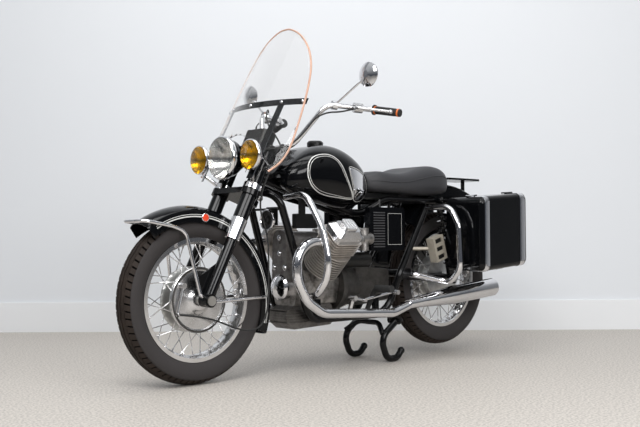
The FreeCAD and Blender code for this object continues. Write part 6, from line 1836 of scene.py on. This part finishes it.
@dataclass
class SideBoxes:
    """Side boxes with louvres whose outer faces are painted lighter as a painted highlight, a lined panel,
    and the regulator's dark slots.
    """

    shop: Shop
    out_y: float = 150.0
    panel: tuple[float, float, float, float] = (414.0, 530.0, 520.0, 686.0)
    corner: float = 14.0
    line_width: float = 1.3
    slot_y: tuple[float, float] = (198.0, 204.0)

    def build(self) -> None:
        """Dress the boxes and the regulator."""
        # The louvres' outward faces are painted lighter grey as a painted highlight.
        louvre_highlight: Test = lambda p, n: abs(p.y) > self.out_y + 1 and abs(n.y) > 0.8
        surface = Surface(self.shop.skin("side_boxes", PAINT, zones=((louvre_highlight, LOUVRE_HIGHLIGHT),), edge=0.8))
        x0, x1, z0, z1 = self.panel
        corners = [Vector((x0, 0, z0)), Vector((x1, 0, z0)), Vector((x1, 0, z1)), Vector((x0, 0, z1))]
        ring = [(p.x, p.z) for p in rounded(corners, self.corner, closed=True)]
        lines = [surface.stripe("line", ring, self.line_width, PINSTRIPE, side, closed=True)
                 for side in (1, -1)]
        dress(join("box_pinstripes", lines), PINSTRIPE, self.shop.body("side_boxes"))
        low, high = self.slot_y
        slot: Test = lambda p, n: low < p.y < high and n.y > 0.8
        self.shop.skin("regulator", GREY_BOX, zones=((slot, PLASTIC),), edge=0.6)


@dataclass
class Panniers:
    """Pannier lids with bright straps, and the seal round each shell."""

    shop: Shop
    front_x: float = 154.0
    rear_x: float = -204.0
    low_z: float = 403.0
    tall: float = 347.0
    rise: float = 28.0
    seam_y: float = 310.6
    corner: float = 36.0
    straps_x: tuple[float, float] = (121.8, -157.5)
    strap_half: float = 13.5
    bead_y: float = 304.0
    bead_r: float = 2.4
    seal_r: float = 1.5
    middle: tuple[float, float, float] = (-25.0, 340.0, 590.0)

    def build(self) -> None:
        """Dress the lids and add the seals."""
        for side, name in ((1, "left"), (-1, "right")):
            middle = Vector((self.middle[0], self.middle[1] * side, self.middle[2]))
            strap: Test = lambda p, n, c=middle: (any(abs(p.x - x) < self.strap_half for x in self.straps_x)
                                                  and n.dot(p - c) > 0)
            self.shop.skin(f"pannier_lid_{name}", PAINT, zones=((strap, CHROME),), smooth_deg=40)
            body = self.shop.body(f"pannier_{name}")
            dress(self.edging(f"{name}_pannier_seal", self.seam_y * side, self.seal_r), GASKET, body)
            dress(self.edging(f"{name}_pannier_bead", self.bead_y * side, self.bead_r), CHROME, body)

    def edging(self, name: str, y: float, radius: float) -> bpy.types.Object:
        """Round strip laid right round a shell.

        Args:
            name: The strip's name.
            y: The place across.
            radius: The strip's radius.

        Returns:
            The new object.
        """
        corners = [Vector((self.rear_x, y, self.low_z + self.rise)), Vector((self.front_x, y, self.low_z)),
                   Vector((self.front_x, y, self.low_z + self.tall)),
                   Vector((self.rear_x, y, self.low_z + self.rise + self.tall))]
        return sweep(name, rounded(corners, self.corner, closed=True), circle(radius, 8), closed=True)


@dataclass
class Tail:
    """Tail lamp: red glass on a black housing."""

    shop: Shop
    glass_x: float = -402.0

    def build(self) -> None:
        """Dress the lamp."""
        housing: Test = lambda p, n: p.x > self.glass_x
        self.shop.skin("tail_lamp", RED, zones=((housing, PLASTIC),), edge=0.6)


# Pieces that keep the solids' shapes

PLAIN_SKINS: dict[str, tuple[Finish, float]] = {
    "fork_yokes": (FRAME_BLACK, 0.8), "fork_legs": (PAINT, 0.5), "fork_covers": (PAINT, 0.5),
    "fork_collars": (CHROME, 0.5), "front_axle": (STEEL, 0.5), "fender_stays": (CHROME, 0.0),
    "handlebar": (CHROME, 0.0), "hand_controls": (POLISHED, 0.6), "frame": (FRAME_BLACK, 0.0),
    "swingarm": (FRAME_BLACK, 0.0), "rear_axle": (STEEL, 0.5), "final_drive": (CAST, 0.8),
    "rear_shocks": (PAINT, 0.4), "crankcase": (CAST, 1.0), "sump": (SUMP_ALLOY, 0.8),
    "barrels": (FIN_ALLOY, 0.5), "cylinder_heads": (FIN_ALLOY, 0.6), "rocker_covers": (POLISHED, 1.5),
    "gearbox": (DARK_CAST, 1.5), "starter": (PLASTIC, 0.8), "carburettors": (CAST, 0.6),
    "exhaust_headers": (CHROME, 0.0), "mufflers": (CHROME, 0.4), "tank_cap": (PLASTIC, 0.8),
    "guard_bars": (CHROME, 0.0), "rear_fender": (PAINT, 0.0), "luggage_rack": (FRAME_BLACK, 0.6),
    "pannier_rails": (FRAME_BLACK, 0.0), "pannier_left": (PAINT, 0.0), "pannier_right": (PAINT, 0.0),
    "footpegs": (GRIP, 0.6), "pedals": (CHROME, 0.4), "centre_stand": (FRAME_BLACK, 0.0),
    "coil_box": (PLASTIC, 0.8), "control_cables": (GRIP, 0.0),
}


@dataclass
class CarriedParts:
    """Solids whose shape is right: each gets a smooth copy and its finish."""

    shop: Shop

    def build(self) -> None:
        """Dress every solid that no other class has used."""
        for node, (finish, edge) in PLAIN_SKINS.items():
            if node not in self.shop.used:
                self.shop.skin(node, finish, edge=edge)


def main() -> None:
    """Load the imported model, dress it and report each piece."""
    logging.basicConfig(level=logging.INFO, format="%(message)s")
    shop = Shop(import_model())
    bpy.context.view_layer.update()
    Studio().build()
    for assembly in (Wheels, Brake, Lamps, FrontFender, Screen, Cockpit, BeltCover, Tank, Seat, SideBoxes,
                     Panniers, Tail, CarriedParts):
        assembly(shop).build()


if __name__ == "__main__":
    main()
